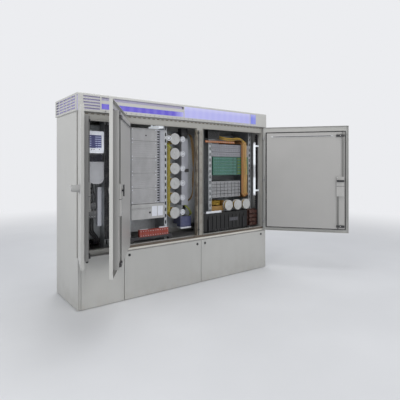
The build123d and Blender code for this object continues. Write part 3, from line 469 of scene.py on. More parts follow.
def moulded(name, colour, rough=0.4, dust=0.15, edge=0.35, grain=0.00005, coat=0.0, part=None):
    """Moulded plastic or rubber: tool grain, flow marks, a little dust and paler, rubbed edges."""
    made = Finish(name)
    base = colour
    if part:
        mask, there = part(made)
        base = made.mix(mask, colour, there)
    flow = made.noise(22.0, 3.0, (1.0, 1.0, 0.4)).rise(0.3, 0.7)
    texture = made.noise(600.0, 2.0)
    dusty = made.noise(35.0, 5.0).rise(0.45, 0.75)
    tone = made.mix(flow * 0.14, base, tint(0, 0, 0))
    tone = made.mix(dusty * dust, tone, tint(150, 146, 138))
    tone = made.mix(made.edges(0.0012) * edge * 0.4, tone, tint(225, 225, 225))
    return made.surface(Base_Color=tone, Roughness=texture * 0.1 + dusty * 0.15 + rough, relief=texture,
                        depth=grain, Coat_Weight=coat)


black_rubber = moulded("black_rubber", tint(36, 36, 38), rough=0.7, dust=0.2, edge=0.05, grain=0.0002)
frame_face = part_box("front_frame")[0].y * 1000
pad_column, pad_levels, pad_height = 112, (436, 1240), 2.8
stop_pads = Stock()
for z in pad_levels:
    stop_pads.disc(pad_column, (frame_face - pad_height, frame_face), z, 10, 8)
stop_pads.made("stop_pads", black_rubber, "seal_rubber", soften=0.3)

# The doors: a pressed pan spot welded to the outer sheet, and a foam seal round it.
# A zinc-plated stay rail is screwed along the top of each pan; a ring frames each outside fitting.
liner_coat = powder_coat("liner_coat", tint(166, 165, 163), paint_bare, peel_depth=0.00005, grime=0.0,
                         rough=0.36)
dress(liner_coat, "door_1_liner", "door_2_liner", "door_3_liner", soften=0.8)
seal_foam = moulded("seal_foam", tint(44, 44, 46), rough=0.75, dust=0.25, edge=0.05, grain=0.0003)
dress(seal_foam, "door_1_seal", "door_2_seal", "door_3_seal", soften=1.5)


def metal(name, colour, rough, crystal=0.0, brushed=0.0, worn=0.0):
    """Bare or plated metal, with zinc crystals or brush lines, and a dull film over it."""
    made = Finish(name)
    film = made.noise(9.0, 4.0).rise(0.35, 0.7)
    dark = tuple(channel * 0.72 for channel in colour[:3]) + (1.0,)
    tone = made.mix(film * 0.5, colour, dark)
    grain = made.noise(300.0, 2.0)
    if crystal:
        cell_size = {"Vector": made.place, "Scale": 1 / crystal}
        cells = made.node("ShaderNodeTexVoronoi", None, cell_size, out="Color")
        grey = made.node("ShaderNodeRGBToBW", None, {0: cells})
        tone = made.mix(grey * 0.35, tone, dark)
        rough_map = grey * 0.22 + film * 0.15 + rough
    else:
        lines = made.noise(260.0, 2.0, (1.0, 1.0, brushed)) if brushed else grain
        tone = made.mix(lines * 0.3, tone, dark)
        rough_map = lines * 0.16 + film * 0.14 + rough
    if worn:
        bright = tuple(min(1.0, channel * 1.6) for channel in colour[:3]) + (1.0,)
        tone = made.mix(made.edges(0.001) * worn, tone, bright)
    return made.surface(Base_Color=tone, Roughness=rough_map, Metallic=0.9 - film * 0.25,
                        relief=grain, depth=0.00003)


plated = metal("plated", tint(188, 189, 190), 0.28, brushed=0.1)
lock_level, pan_face, case_face = 830, 47, 58.5
case_half, case_levels, guide_levels = 27, (701, 858), (420, 1238)
rail_levels, rail_height, rail_screw_level = (1231, 1245), 4, 1238
slot_levels, slot_faces = (1235, 1241), (pan_face + 3.8, pan_face + 4.6)
rose_sizes = {1: (24.5, 32), 2: (32, 38), 3: (32, 38)}
for number, (hub, ring) in rose_sizes.items():
    lock_x = lock_reach[number]
    rail = Stock(door=number)
    rail.plate((70, lock_x - 60), (pan_face + 0.1, pan_face + rail_height), rail_levels, 6)
    for x in (78, lock_x - 68):
        rail.screw(x, pan_face + rail_height, rail_screw_level, 3.0, toward=1)
    rail.made(f"door_{number}_stay_rail", plated, "bright_steel")
    # Painted shade: a thin black strip on each rail stands in for the shade in its slot.
    rail_slot_shade = Stock(door=number).plate((90, lock_x - 80), slot_faces, slot_levels, 2.9)
    rail_slot_shade.made(f"door_{number}_rail_slot_shade", black_rubber, "seal_rubber", soften=0.0)
    rose = Stock(door=number)
    rose.plate((lock_x - ring, lock_x + ring), (-2, -0.1), (lock_level - ring, lock_level + ring), ring,
               ((lock_x - hub, lock_x + hub), (lock_level - hub, lock_level + hub), hub))
    rose.made(f"door_{number}_rose", plated, "bright_steel", soften=0.3)
    lock_screws = Stock(door=number)
    for x in (lock_x - case_half, lock_x + case_half):
        for z in case_levels:
            lock_screws.screw(x, case_face, z, toward=1)
    for z in guide_levels:
        lock_screws.screw(lock_x, case_face, z, toward=1)
    lock_screws.made(f"door_{number}_lock_screws", plated, "bright_steel", soften=0.0)

# The locks behind the doors: a light moulded case over the gear, and black guides for the rods.
# Rods and shafts are zinc plated or blackened steel; the outside lever is cast and satin painted.
case_span, seam_span = (0.66, 0.9), (0.7805, 0.7835)


def guides_and_seam(made):
    """The black guides above and below the case, and the dark seam across it."""
    return (1 - made.z.between(*case_span)).largest(made.z.between(*seam_span)), tint(40, 40, 43)


lock_case = moulded("lock_case", tint(172, 171, 169), rough=0.4, dust=0.1, edge=0.2, part=guides_and_seam)
rod_steel = metal("rod_steel", tint(126, 126, 124), 0.42, brushed=0.1)
blackened = metal("blackened", tint(58, 58, 60), 0.4, brushed=0.1, worn=0.5)
lever_satin = powder_coat("lever_satin", tint(168, 168, 167), tint(206, 206, 205), peel_depth=0.00003,
                          grime=0.0, rough=0.3)
for number in locks:
    dress(lock_case, f"door_{number}_lock_housing", soften=0.5)
    dress(rod_steel, f"door_{number}_rod_upper", f"door_{number}_rod_lower", soften=0.3)
    dress(blackened, f"door_{number}_lock_spindle", soften=0.3)
dress(lever_satin, "door_1_handle")
dress(plated, "door_2_key_disc", "door_3_key_disc", soften=0.3)
dress(plated, "hinge_lugs", soften=0.4)
dress(plated, "hinge_pins")

# The plinth's quarter-turn locks: black moulded heads with a key slot, pushed through the panels.
# The cable glands in the floor are soft black rubber.
lock_plastic = moulded("lock_plastic", tint(38, 38, 41), rough=0.45, edge=0.12)
dress(lock_plastic, "plinth_locks", soften=0.5)
gland_rubber = moulded("gland_rubber", tint(52, 52, 54), rough=0.65, dust=0.3, edge=0.05)
dress(gland_rubber, "cable_glands")

# The canopy's slats, bent from thin sheet and set in the louvres to keep rain out.
# They are sprayed grey like the canopy; the coat's lean to violet is painted light from the violet glow
# inside the canopy.
slat_coat_violet_light = powder_coat("slat_coat_violet_light", tint(176, 172, 196), tint(200, 198, 214), grime=0.0)
dress(slat_coat_violet_light, "canopy_slats")

# The canopy's lights: long frosted strips behind the slots, lit evenly by rows of small lamps.
# A violet strip runs over the left bays, a pale one over the rest, and a blue one ends it.
strip_light = Finish("light_panel")
frost = strip_light.noise(900.0, 1.0)
violet = strip_light.mix(strip_light.noise(5.0, 2.0), tint(70, 54, 190), tint(92, 78, 208))
pale = strip_light.mix(strip_light.noise(3.0, 2.0), tint(184, 184, 238), tint(168, 170, 232))
blue = tint(126, 134, 226)
colour = strip_light.mix(strip_light.x.rise(-0.16, -0.03), violet, pale)
colour = strip_light.mix(strip_light.x.rise(0.685, 0.69), colour, blue)
colour = strip_light.mix(strip_light.z.rise(1.40, 1.44) * 0.25, colour, tint(240, 238, 250))
colour = strip_light.mix(strip_light.x.wave(95.0) * 0.03 + 0.02, colour, tint(255, 255, 255))
strip_light.surface(Base_Color=tint(20, 18, 32), Emission_Color=colour, Emission_Strength=0.92,
                    Roughness=frost * 0.2 + 0.3, relief=frost, depth=0.0001)
dress(strip_light, "canopy_lights")

# Frosted sheets that glow stand behind the louvres at the canopy's ends and its front left corner.
# They are no lamps: their glow is painted light, for the light inside the canopy. Those at the ends have thin
# ribs.
# A violet-grey sheet with spacers behind the slot over the violet strip is painted shade, for the canopy's
# inside.
# Painted light: these sheets are no lamps; their glow stands in for light from inside the canopy.
louvre_painted_glow = Finish("louvre_painted_glow")
haze = louvre_painted_glow.noise(7.0, 3.0).rise(0.3, 0.7)
louvre_painted_glow.surface(
    Base_Color=louvre_painted_glow.mix(haze, tint(120, 116, 150), tint(140, 136, 170)),
    Emission_Color=louvre_painted_glow.mix(haze, tint(158, 152, 204), tint(182, 176, 222)), Emission_Strength=0.75,
    Roughness=haze * 0.1 + 0.4)
glow_x, glow_depth, glow_levels = (-892, 892), (-218, 218), (1342, 1454.8)
louvre_glow_sheets = Stock()
for x in glow_x:
    louvre_glow_sheets.bar((x - 1, x + 1), glow_depth, glow_levels)
louvre_glow_sheets.bar((-876, -742), (-229.5, -227.5), glow_levels)
for x in glow_x:
    for y in range(-180, 181, 60):
        louvre_glow_sheets.bar((x - 3, x + 3), (y - 1, y + 1), (1344, 1452))
# Painted shade: this violet-grey sheet behind the slot stands in for the canopy's shaded inside.
slot_shade_sheet = Stock().bar((-741, -56), (-232, -230), (1402, 1454.8))
for x in range(-700, -80, 80):
    slot_shade_sheet.bar((x, x + 3), (-234, -231.9), (1404, 1450))
slot_shade_sheet.made("upper_slot_back", slat_coat_violet_light, "slat_paint", soften=0.3)
louvre_glow_sheets.made("louvre_glow_sheets", louvre_painted_glow, "light_panel", soften=0.3)

# The base frame, perforated uprights and mounting plates: sheet steel, hot-dip zinc coated.
# The zinc grows in large dull crystals and turns white in patches.
zinc = metal("zinc", tint(172, 175, 178), 0.36, crystal=0.014)
dress(zinc, "base_frame", "mounting_plates")
dress(zinc, "equipment_uprights", soften=0.4)

# The energy meter: a white case with a raised frame round a violet glass window, and three buttons.
# Pale rows and dark ones show through the glass.
meter_white = moulded("meter_white", tint(224, 227, 236), rough=0.3, dust=0.05)
dress(meter_white, "energy_meter", soften=0.6)


def front_of(name):
    """The y of a CAD piece's front, in millimetres."""
    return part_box(name)[0].y * 1000


meter_front = front_of("energy_meter")
bezel_front = meter_front - 4
window_x, window_z, window_gap = (-797, -699), (1092, 1185), 0.5
key_columns, key_level = (-772, -756, -716), 1082
bezel = Stock()
bezel.plate((-804, -682), (bezel_front, meter_front), (1072, 1212), 9, (window_x, window_z, 5))
bezel.made("meter_frame", meter_white, "meter_white")
meter_keys = Stock()
for x in key_columns:
    meter_keys.disc(x, (bezel_front - 2, bezel_front), key_level, 3.6, 3.0)
meter_keys.made("meter_keys", lock_plastic, "lock_black", soften=0.0)


def meter_rows(made):
    """Rows behind the glass, paler and darker in turn."""
    rows = made.z.wave(420.0).rise(0.2, 0.6)
    return rows * made.noise(60.0, 1.0, (1.0, 1.0, 0.1)).rise(0.4, 0.6), tint(176, 182, 214)


meter_glass = moulded("meter_glass", tint(84, 86, 126), rough=0.1, dust=0.0, edge=0.0, coat=0.8,
                      part=meter_rows)
pane_x, pane_z = ((low + window_gap, high - window_gap) for low, high in (window_x, window_z))
pane = Stock().plate(pane_x, (meter_front + 1.4, meter_front + 3.8), pane_z, 4.5)
pane.made("meter_window", meter_glass, "meter_white", soften=0.2)

# The service box: a grey moulded case with a screwed lid, and a dark glossy cover over its upper step.
# The lid's screws are plated steel.
box_grey = moulded("box_grey", tint(158, 159, 164))
dress(box_grey, "service_box", soften=0.6)
box_front = front_of("service_box")
lid_front = box_front - 2.5
lid = Stock().plate((-790, -688), (lid_front, box_front), (866, 980), 8)
lid.made("service_box_lid", box_grey, "box_grey", soften=0.5)
lid_screws = Stock()
for x in (-782, -696):
    for z in (876, 970):
        lid_screws.screw(x, lid_front, z, 3.5)
lid_screws.made("service_box_screws", plated, "bright_steel", soften=0.0)
cover_gloss = moulded("cover_gloss", tint(40, 41, 50), rough=0.14, dust=0.05, edge=0.1, coat=0.6)
cover = Stock().plate((-795, -691), (box_front + 6, box_front + 12), (998, 1048), 6)
cover.made("service_cover", cover_gloss, "lock_black", soften=1.0)

# The circuit breakers: grey blocks side by side on a rail, with black toggles and plated screws.
# The screws stand back on the blocks' lower steps, over and under the toggles.
breaker_grey = moulded("breaker_grey", tint(92, 93, 96))
dress(breaker_grey, "breaker_block", soften=0.5)
breaker_front = front_of("breaker_block")
breaker_columns, toggle_levels, breaker_screw_levels = (-777, -758, -738), (644, 664), (606, 698)
toggles = Stock()
breaker_screws = Stock()
for x in breaker_columns:
    toggles.plate((x - 5, x + 5), (breaker_front - 6, breaker_front), toggle_levels, 2)
    for z in breaker_screw_levels:
        breaker_screws.screw(x, breaker_front + 9, z, 3.2)
toggles.made("breaker_toggles", lock_plastic, "lock_black", soften=0.5)
breaker_screws.made("breaker_screws", plated, "bright_steel", soften=0.0)

# The wiring: black supply cables from the glands to the breakers, and single cores to the service box.
# Cores are stranded copper in thin PVC, bent by hand in soft curves and pushed into the terminals.
cable_jacket = moulded("cable_jacket", tint(34, 34, 37), rough=0.38, dust=0.1, edge=0.0)
dress(cable_jacket, "power_cables")


def strands(name, runs, radius, finish):
    """Round cores that follow smooth curves through millimetre points, as one piece."""
    line = bpy.data.curves.new(name, "CURVE")
    line.dimensions = "3D"
    line.bevel_depth = radius / 1000
    line.bevel_resolution = 2
    line.use_fill_caps = True
    for run in runs:
        spline = line.splines.new("NURBS")
        spline.points.add(len(run) - 1)
        for point, place in zip(spline.points, run):
            point.co = (place[0] / 1000, place[1] / 1000, place[2] / 1000, 1.0)
        spline.order_u = 3
        spline.use_endpoint_u = True
        spline.resolution_u = 6
    drawn = bpy.data.objects.new(name + "_line", line)
    data = bpy.data.meshes.new_from_object(drawn)
    data.name = name
    bpy.data.objects.remove(drawn)
    bpy.data.curves.remove(line)
    for face in data.polygons:
        face.use_smooth = True
    return set_in(name, data, finish, "cabinet", 0.0)


cores = []
for x in (-779, -768, -756, -744, -735):
    lean = random.uniform(-12, 12)
    cores.append([(x, -112, 850), (x + lean, -118, 826), (x + lean, -132, 790), (x - lean / 2, -130, 748),
                  (x, -122, 722), (x, -112, 700)])
strands("service_cores", cores, 2.2, cable_jacket)

# Slotted wiring combs: black plastic fingers that hold wires, in two rows on a backing strip.
# One is screwed to the left bay's upright, the other to the right side sheet.
comb_black = moulded("comb_black", tint(40, 40, 44), rough=0.45, edge=0.15)
finger_pitch, finger_height, finger_thick = 18, 10, 4
left_comb = Stock().bar((-678, -644), (-149, -145.1), (440, 1262))
for z in range(446, 1252, finger_pitch):
    for x in (-677, -649):
        left_comb.bar((x, x + finger_thick), (-166, -148.9), (z, z + finger_height))
left_comb.made("left_wiring_comb", comb_black, "lock_black", soften=0.3)
right_comb = Stock().bar((893, 897.8), (-138, -112), (400, 1270))
for z in range(406, 1260, finger_pitch):
    for y in (-137, -117):
        right_comb.bar((880, 893.1), (y, y + finger_thick), (z, z + finger_height))
right_comb.made("right_wiring_comb", comb_black, "lock_black", soften=0.3)

# The ducts beside the splice modules are extruded grey plastic with clip-on lids.
# The slotted one is open at the front, and behind its front it is painted dark, as painted shade in the
# slots.
slotted_span, slotted_depth = (-0.2421, -0.2178), -0.1455


def duct_slot_shade(made):
    """Painted shade: the inside of the slotted duct, behind its front, is painted dark."""
    return made.x.between(*slotted_span) * made.y.above(slotted_depth), tint(30, 29, 34)


duct_grey = moulded("duct_grey", tint(176, 178, 186), dust=0.1, part=duct_slot_shade)
dress(duct_grey, "cable_ducts", soften=0.4)

# The splice modules: grey cassettes stacked one on another, each with a latch at its corners.
# They hook on the mounting plate, and the top one is locked with a key.
module_grey = moulded("module_grey", tint(172, 172, 174), dust=0.1)
dress(module_grey, "termination_modules", soften=0.5)
module_front = front_of("termination_modules")
module_spans = ((676, 794), (796, 909), (912, 1025), (1027, 1156), (1158, 1256))
latch_inset = 12
latches = Stock()
for low, high in module_spans:
    for x in (-459, -256):
        for z in (low + latch_inset, high - latch_inset):
            latches.disc(x, (module_front - 3, module_front), z, 4.2, 3.4)
latches.made("module_latches", meter_white, "meter_white", soften=0.0)
keyhole = Stock().disc(-342, (module_front - 2.5, module_front), 1201, 6, 5)
keyhole.disc(-342, (module_front - 4, module_front - 2.4), 1201, 3, 2.4)
keyhole.made("module_keyhole", lock_plastic, "lock_black", soften=0.0)

# The splice box below them: a light case with a round lock, a seam across it and blank plates.
# The lock is pushed through the cover; the plates close two openings.
box_white = moulded("box_white", tint(178, 178, 178), dust=0.08)
dress(box_white, "splice_box", soften=0.5)
splice_front = front_of("splice_box")
splice_lock = Stock().disc(-307, (splice_front - 3, splice_front), 604, 8.5, 7.5)
splice_lock.bar((-312, -302), (splice_front - 3.6, splice_front - 3), (603, 605))
splice_lock.made("splice_box_lock", lock_plastic, "lock_black", soften=0.0)
blanks = Stock()
for x in (-290, -238):
    blanks.plate((x, x + 46), (splice_front - 1.4, splice_front), (574, 652), 3)
blanks.made("splice_box_plates", meter_white, "meter_white", soften=0.3)
seam = Stock()
for levels in ((640, 641.6), (632, 633)):
    seam.bar((-462, -296), (splice_front - 0.5, splice_front + 0.1), levels)
seam.made("splice_box_seam", lock_plastic, "lock_black", soften=0.0)

# Bend drums: moulded white reels on which spare fibre winds in a safe bend.
# Each has a hub and rows of small ribs on its face, and yellow fibre between its flanges.
drum_white = moulded("drum_white", tint(188, 189, 189), rough=0.34, dust=0.06)
dress(drum_white, "bend_drums", soften=0.8)
drum_levels = (1188, 1066, 944, 822, 701, 580)
drums = [(-58, z, -125, -55) for z in drum_levels] + [(x, 607, -151, -118) for x in (733, 512, 623)]
drum_radius, winding_radius, flange = 46, 41, 8
winding_steps, step_turn = 72, 0.5236
faces = Stock()
windings = []
for x, z, near, far in drums:
    faces.disc(x, (near - 2.2, near), z, 13, 11)
    faces.disc(x, (near - 3.2, near - 2.1), z, 6, 5)
    for spoke in range(6):
        angle = math.radians(spoke * 60 + 15)
        for share in (0.42, 0.66, 0.9):
            rib_x = x + drum_radius * share * math.cos(angle)
            rib_z = z + drum_radius * share * math.sin(angle)
            faces.disc(rib_x, (near - 1.2, near), rib_z, 2.6, 2.0, facets=12)
    winding = []
    for step in range(winding_steps + 1):
        depth = near + flange + (far - near - 2 * flange) * step / winding_steps
        angle = step * step_turn
        winding.append((x + winding_radius * math.cos(angle), depth, z + winding_radius * math.sin(angle)))
    windings.append(winding)
faces.made("drum_faces", drum_white, "drum_white", soften=0.0)
fibre_yellow = moulded("fibre_yellow", tint(184, 150, 56), rough=0.4, dust=0.05, edge=0.0)
strands("drum_fibre", windings, 1.5, fibre_yellow)

# White snap rings beside the drums lead the fibre into the tall duct; a strap holds the duct.
# All are moulded. Arms to the mounting plate hold the lowest ring and the one on the left.
clip_white = moulded("clip_white", tint(222, 225, 231), rough=0.3, dust=0.03)
plate_face, ring_faces, core_faces = -3.2, (-128, -105.2), (-126, -106)
rings = Stock()
for z in drum_levels:
    rings.plate((-6, 42), ring_faces, (z - 24, z + 24), 24, ((2, 34), (z - 16, z + 16), 16))
    rings.disc(18, core_faces, z, 15, 13)
rings.bar((14, 22), (-106, plate_face), (576, 584))
rings.plate((-142, -94), ring_faces, (1170, 1214), 21, ((-134, -102), (1178, 1206), 13))
rings.disc(-118, core_faces, 1192, 13, 11)
rings.bar((-122, -114), (-106, plate_face), (1188, 1196))
rings.made("guide_rings", clip_white, "meter_white", soften=0.6)
strap = Stock().plate((50, 86), (-117, -105), (914, 940), 4)
strap.disc(68, (-120, -117), 927, 5, 4)
strap.made("duct_strap", lock_plastic, "lock_black", soften=0.6)

# Two small boxes hang on brackets from the middle plate: a black relay box above, a blue one below.
# Both are moulded, and the blue one stands on a white shelf.
relay = Stock().plate((13, 74), (-115, -60), (1202, 1283), 5).bar((22, 62), (-61, plate_face), (1216, 1254))
relay.bar((22, 65), (-117, -115), (1212, 1240)).disc(44, (-118, -115), 1262, 7, 6)
relay.made("relay_box", comb_black, "lock_black", soften=1.0)
blue_box = moulded("blue_box", tint(74, 78, 112), rough=0.3)
shelf_x = (-17, 89)
supply = Stock().plate(shelf_x, (-145, -90), (459, 545), 6).bar((4, 70), (-91, plate_face), (474, 530))
supply.plate((-8, 80), (-147, -145), (470, 534), 4)
supply.made("blue_supply_box", blue_box, "box_grey", soften=1.0)
shelf = Stock().bar(shelf_x, (-143, -92), (446, 458.5)).bar(shelf_x, (-147, -143), (446, 456))
shelf.made("supply_box_shelf", clip_white, "meter_white", soften=0.5)

# The terminals are red blocks clipped on a dark rail, which stands on two legs over the floor.
# Each has two plated screws. White bridges lie on top, and the last four have markers in their backs.
rail_top = 0.4252


def terminal_rail(made):
    """The dark rail and its legs, below the red blocks."""
    return 1 - made.z.above(rail_top), tint(40, 40, 44)


terminal_red = moulded("terminal_red", tint(150, 56, 42), rough=0.38, part=terminal_rail)
dress(terminal_red, "terminal_block", soften=0.4)
terminal_front = front_of("terminal_block")
first_x, last_x, terminals, first_marked = -410, -155, 12, 8
marker_faces = (-148, -147)
terminal_pitch = (last_x - first_x) / terminals
terminal_screws, markers = Stock(), Stock()
for step in range(terminals):
    x = first_x + (step + 0.5) * terminal_pitch
    for z in (434, 468):
        terminal_screws.screw(x, terminal_front, z, 3.4)
    if step >= first_marked:
        markers.bar((x - 6, x + 6), marker_faces, (444, 458))
markers.bar((-230, -158), (-160, -150), (478, 486)).bar((-400, -330), (-160, -152), (478, 481))
terminal_screws.made("terminal_screws", plated, "bright_steel", soften=0.0)
markers.made("terminal_markers", clip_white, "meter_white", soften=0.3)

# The fibre bundles: orange sheathed cords in the right bay and yellow-green ones in the middle bay.
# Loose single fibres lead from them to the drums, the ducts and the rack.
right_bay_start = 0.3


def middle_bay(made):
    """The bundles of the middle bay."""
    return 1 - made.x.above(right_bay_start), tint(164, 150, 60)


bundle_sheath = moulded("fibre_sheath", tint(158, 112, 66), rough=0.4, dust=0.05, edge=0.0, part=middle_bay)
dress(bundle_sheath, "fibre_bundles")
gold_fibre = moulded("fibre_gold", tint(206, 168, 104), rough=0.4, dust=0.05, edge=0.0)
over = []
for step in range(8):
    x, lean = 704 + step * 6, random.uniform(-10, 10)
    over.append([(x - 8, -124, 1196), (x, -139 - step % 3, 1178), (x + lean, -143, 1040),
                 (x - lean, -142, 900), (x + lean / 2, -143, 770), (x + 4, -140, 706), (x + 8, -124, 682)])
strands("bundle_fibres", over, 1.7, gold_fibre)
green_fibre = moulded("fibre_green", tint(158, 166, 62), rough=0.4, dust=0.05, edge=0.0)
brown_fibre = moulded("fibre_brown", tint(138, 108, 62), rough=0.4, dust=0.05, edge=0.0)
loose = []
for step in range(5):
    drop = random.uniform(0, 14)
    loose.append([(-178, -118, 1156 - drop), (-160, -136, 1150 - drop), (-128, -146 + step * 3, 1132 - drop),
                  (-92, -128, 1112), (-72, -95, 1108)])
for step in range(5):
    wide = random.uniform(-10, 10)
    loose.append([(60 + step * 4, -60, 642), (72 + step * 5, -86, 618), (110 + wide, -104, 584),
                  (132 + wide, -84, 548), (118, -40, 528), (96, -3.5, 522 + step * 3)])
strands("middle_bay_fibres", loose, 2.3, green_fibre)
hanging, brown_count = [], 7
for step in range(12):
    lean, sag = random.uniform(-15, 15), random.uniform(-20, 20)
    hanging.append([(90, -3.5, 1240 - step * 4), (104, -60, 1246), (122 + lean, -116, 1220),
                    (134 + lean, -122, 1040 + sag), (126 - lean, -118, 860),
                    (134 + lean / 2, -112, 720 + sag), (112, -60, 652), (88, -3.5, 640 + step * 4)])
strands("middle_bay_leads", hanging[brown_count:], 2.2, cable_jacket)
strands("middle_bay_cords", hanging[:brown_count], 2.6, brown_fibre)

# The rack units: grey vented trays on the perforated uprights, each held by a screw at both ends.
# The patch unit under them has thin black dividers between its rows of cassettes.
rack_grey = moulded("rack_grey", tint(142, 143, 150), grain=0.0001)
dress(rack_grey, "rack_units", soften=0.5)
patch_grey = moulded("patch_grey", tint(144, 145, 148), grain=0.0001)
dress(patch_grey, "patch_unit", soften=0.4)
rack_front = front_of("rack_units")
rack_screws = Stock()
for columns, levels in (((347, 782), (1144, 1109, 1070)), ((348, 676), (690, 816))):
    for z in levels:
        for x in columns:
            rack_screws.screw(x, rack_front, z, 3.6)
rack_screws.made("rack_screws", plated, "bright_steel", soften=0.0)
dividers = Stock()
for x in range(395, 660, 44):
    dividers.bar((x, x + 3), (rack_front - 1.6, rack_front + 0.2), (686, 820))
dividers.made("patch_dividers", lock_plastic, "lock_black", soften=0.2)

# The splice panel: a green front with six rows of teal adapters; the last columns are yellow-green.
# Dark uprights part them. The adapters snap into slots and have a shutter at the front.
panel_green = moulded("panel_green", tint(66, 116, 100), rough=0.35)
dress(panel_green, "splice_panel", soften=0.5)
adapter_teal = moulded("adapter_teal", tint(104, 150, 142), rough=0.3, dust=0.05)
adapter_lime = moulded("adapter_lime", tint(112, 142, 72), rough=0.3, dust=0.05)
panel_foot, row_pitch, rows = 882, 27.333, 6
teal_columns, lime_columns, post_columns = range(368, 630, 21), range(652, 770, 21), (590, 641)
for name, finish, columns in (("teal_adapters", adapter_teal, teal_columns),
                              ("lime_adapters", adapter_lime, lime_columns)):
    adapters = Stock()
    for row in range(rows):
        z = panel_foot + (row + 0.5) * row_pitch
        for x in columns:
            adapters.bar((x, x + 16), (-113.5, -105.2), (z - 6, z + 6))
            adapters.bar((x + 3, x + 13), (-117, -113.4), (z - 3.5, z + 3.5))
    adapters.made(name, finish, "panel_green", soften=0.3)
posts = Stock()
for x in post_columns:
    posts.bar((x, x + 5), (-117.5, -114.9), (885, 1043))
posts.made("panel_posts", lock_plastic, "lock_black", soften=0.3)

# The fan box and the copper earth bar at the top of the right bay's uprights.
# The fan box is folded black sheet with a grille; the bar is drilled and carries a row of screws.
power_black = powder_coat("power_black", tint(8, 8, 10), tint(80, 80, 82), grime=0.0, rough=0.3)
fixing_face, earth_front, earth_level = -115.2, -121, 1181
fan = Stock().plate((262, 388), (-160, fixing_face), (1207, 1281), 4)
for z in range(1218, 1274, 9):
    fan.bar((276, 374), (-162, -159.9), (z, z + 4))
fan.made("fan_box", power_black, "power_black", soften=0.6)
copper = metal("copper", tint(168, 112, 76), 0.3, brushed=0.1)
earth = Stock().plate((262, 609), (earth_front, fixing_face), (1172, 1190), 2)
earth.bar((596, 608), (-116, 94.8), (1176, 1186))
earth.made("earth_bar", copper, "bright_steel", soften=0.5)
earth_screws = Stock()
for x in range(278, 600, 24):
    earth_screws.screw(x, earth_front, earth_level, 3.8)
earth_screws.made("earth_bar_screws", plated, "bright_steel", soften=0.0)

# Single fibres come from the rear at the top of the right bay, pass the earth bar and join the bundle.
# Three thicker brown cords lie under the yellow ones.
arriving = []
for step in range(5):
    sag = random.uniform(-12, 12)
    arriving.append([(420 + step * 9, 94, 1240), (430, -60, 1236 + sag), (470, -126, 1212 + sag),
                     (560, -131, 1204 + sag), (650, -129, 1224 + sag / 2), (704, -132, 1210),
                     (720 + step * 8, -126, 1180)])
strands("top_fibres", arriving, 2.0, fibre_yellow)
under = [[(x, y + 3, z - 10) for x, y, z in run] for run in arriving[:3]]
strands("top_cords", under, 2.4, brown_fibre)

# The fibre tray: a deep ochre moulding under the patch unit, hooked on the uprights.
# Spare yellow fibre lies in it in loose loops.
tray_ochre = moulded("tray_ochre", tint(156, 120, 62), rough=0.35)
dress(tray_ochre, "fibre_tray", soften=0.5)
spare = []
for step in range(7):
    rise = 612 + step * 5
    wide = random.uniform(-8, 8)
    spare.append([(352, -60 + step * 3, rise), (380, -100, rise + 6), (420 + wide, -106, rise + wide),
                  (458, -90, rise + 4), (466, -40, rise), (420, -6 + wide, rise + 3), (362, -20, rise)])
strands("tray_fibre", spare, 2.2, fibre_yellow)

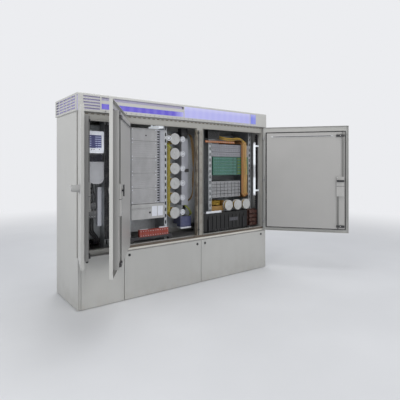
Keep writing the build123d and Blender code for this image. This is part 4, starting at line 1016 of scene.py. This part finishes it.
# The power unit: a black finned case on four feet, with a display, sockets and two pull handles.
# A white tray with a turned-up edge lies on it.
dress(power_black, "power_unit", soften=0.6)
power_front = front_of("power_unit")
display_grey = moulded("display_grey", tint(58, 58, 66), rough=0.15, dust=0.03, edge=0.1, coat=0.6)
display = Stock().plate((495, 600), (power_front - 2, power_front), (470, 500), 3)
display.made("power_display", display_grey, "power_black")
grip_front, grip_width, grip_levels = power_front - 12, 8, (396, 500)
handles = Stock()
for x in (250, 660):
    grip_x = (x, x + grip_width)
    for low in (396, 494):
        handles.bar(grip_x, (power_front - 8, power_front), (low, low + 6))
    handles.bar(grip_x, (grip_front, grip_front + 5), grip_levels)
for x in range(330, 470, 26):
    handles.plate((x, x + 18), (power_front - 3, power_front), (392, 410), 3)
handles.made("power_handles", comb_black, "lock_black", soften=1.0)
tray_floor, tray_x, tray_y = 552.2, (232, 405), (-168, -124)
tray = Stock().bar(tray_x, tray_y, (tray_floor, 555)).bar(tray_x, (-171, -168), (tray_floor, 571))
for x in (232, 402):
    tray.bar((x, x + 3), tray_y, (tray_floor, 564))
tray.made("power_tray", clip_white, "meter_white", soften=0.5)

# Red-brown fuse holders stand in a column beside the power unit, screwed to the upright.
# Each is a moulding with a finger grip.
fuse_red = moulded("fuse_red", tint(76, 48, 42), rough=0.35)
fuses = Stock().bar((769, 877), (-122, fixing_face), (390, 553))
for z in range(396, 540, 38):
    fuses.plate((775, 871), (-150, -121.9), (z, z + 32), 4)
    fuses.plate((806, 840), (-158, -149.9), (z + 9, z + 23), 4)
fuses.made("fuse_holders", fuse_red, "terminal_red", soften=0.8)

# The work lamps: opal tubes with a joint in the middle that stays darker than their ends.
# Moulded caps close the ends, and clips hold the lamp to the side sheet.
lamp_opal = Finish("work_lamp")
joint_mask = lamp_opal.z.rise(0.84, 0.87) * (1 - lamp_opal.z.rise(0.96, 0.99)) * lamp_opal.x.above(0.5)
dull = lamp_opal.noise(40.0, 3.0)
lamp_opal.surface(
    Base_Color=lamp_opal.mix(dull, tint(190, 194, 198), tint(206, 208, 212)),
    Emission_Color=lamp_opal.mix(joint_mask, tint(240, 246, 252), tint(60, 66, 72)), Emission_Strength=0.5,
    Roughness=dull * 0.2 + 0.15)
dress(lamp_opal, "work_lamps", soften=0.4)
tube_x, tube_y, cap_radius = 838, -151, 12.4
caps = Stock()
for levels in ((683.1, 700), (1173, 1189.9)):
    caps.disc(tube_x, levels, tube_y, cap_radius, cap_radius, upright=True)
caps.made("lamp_caps", clip_white, "lamp_white", soften=0.6)

# The left bay is narrow and its door half shuts off the studio lamps, so a small lamp lights it.
# It is part of the studio, and neither the camera nor gloss shows it.
bay_light = soft_lamp("bay_light", (-0.72, -0.215, 0.85), (-0.73, -0.06, 0.86), 0.2, 0.8, 0.5,
                      (0.98, 0.99, 1.0))
bay_light.visible_camera = False
bay_light.visible_glossy = False
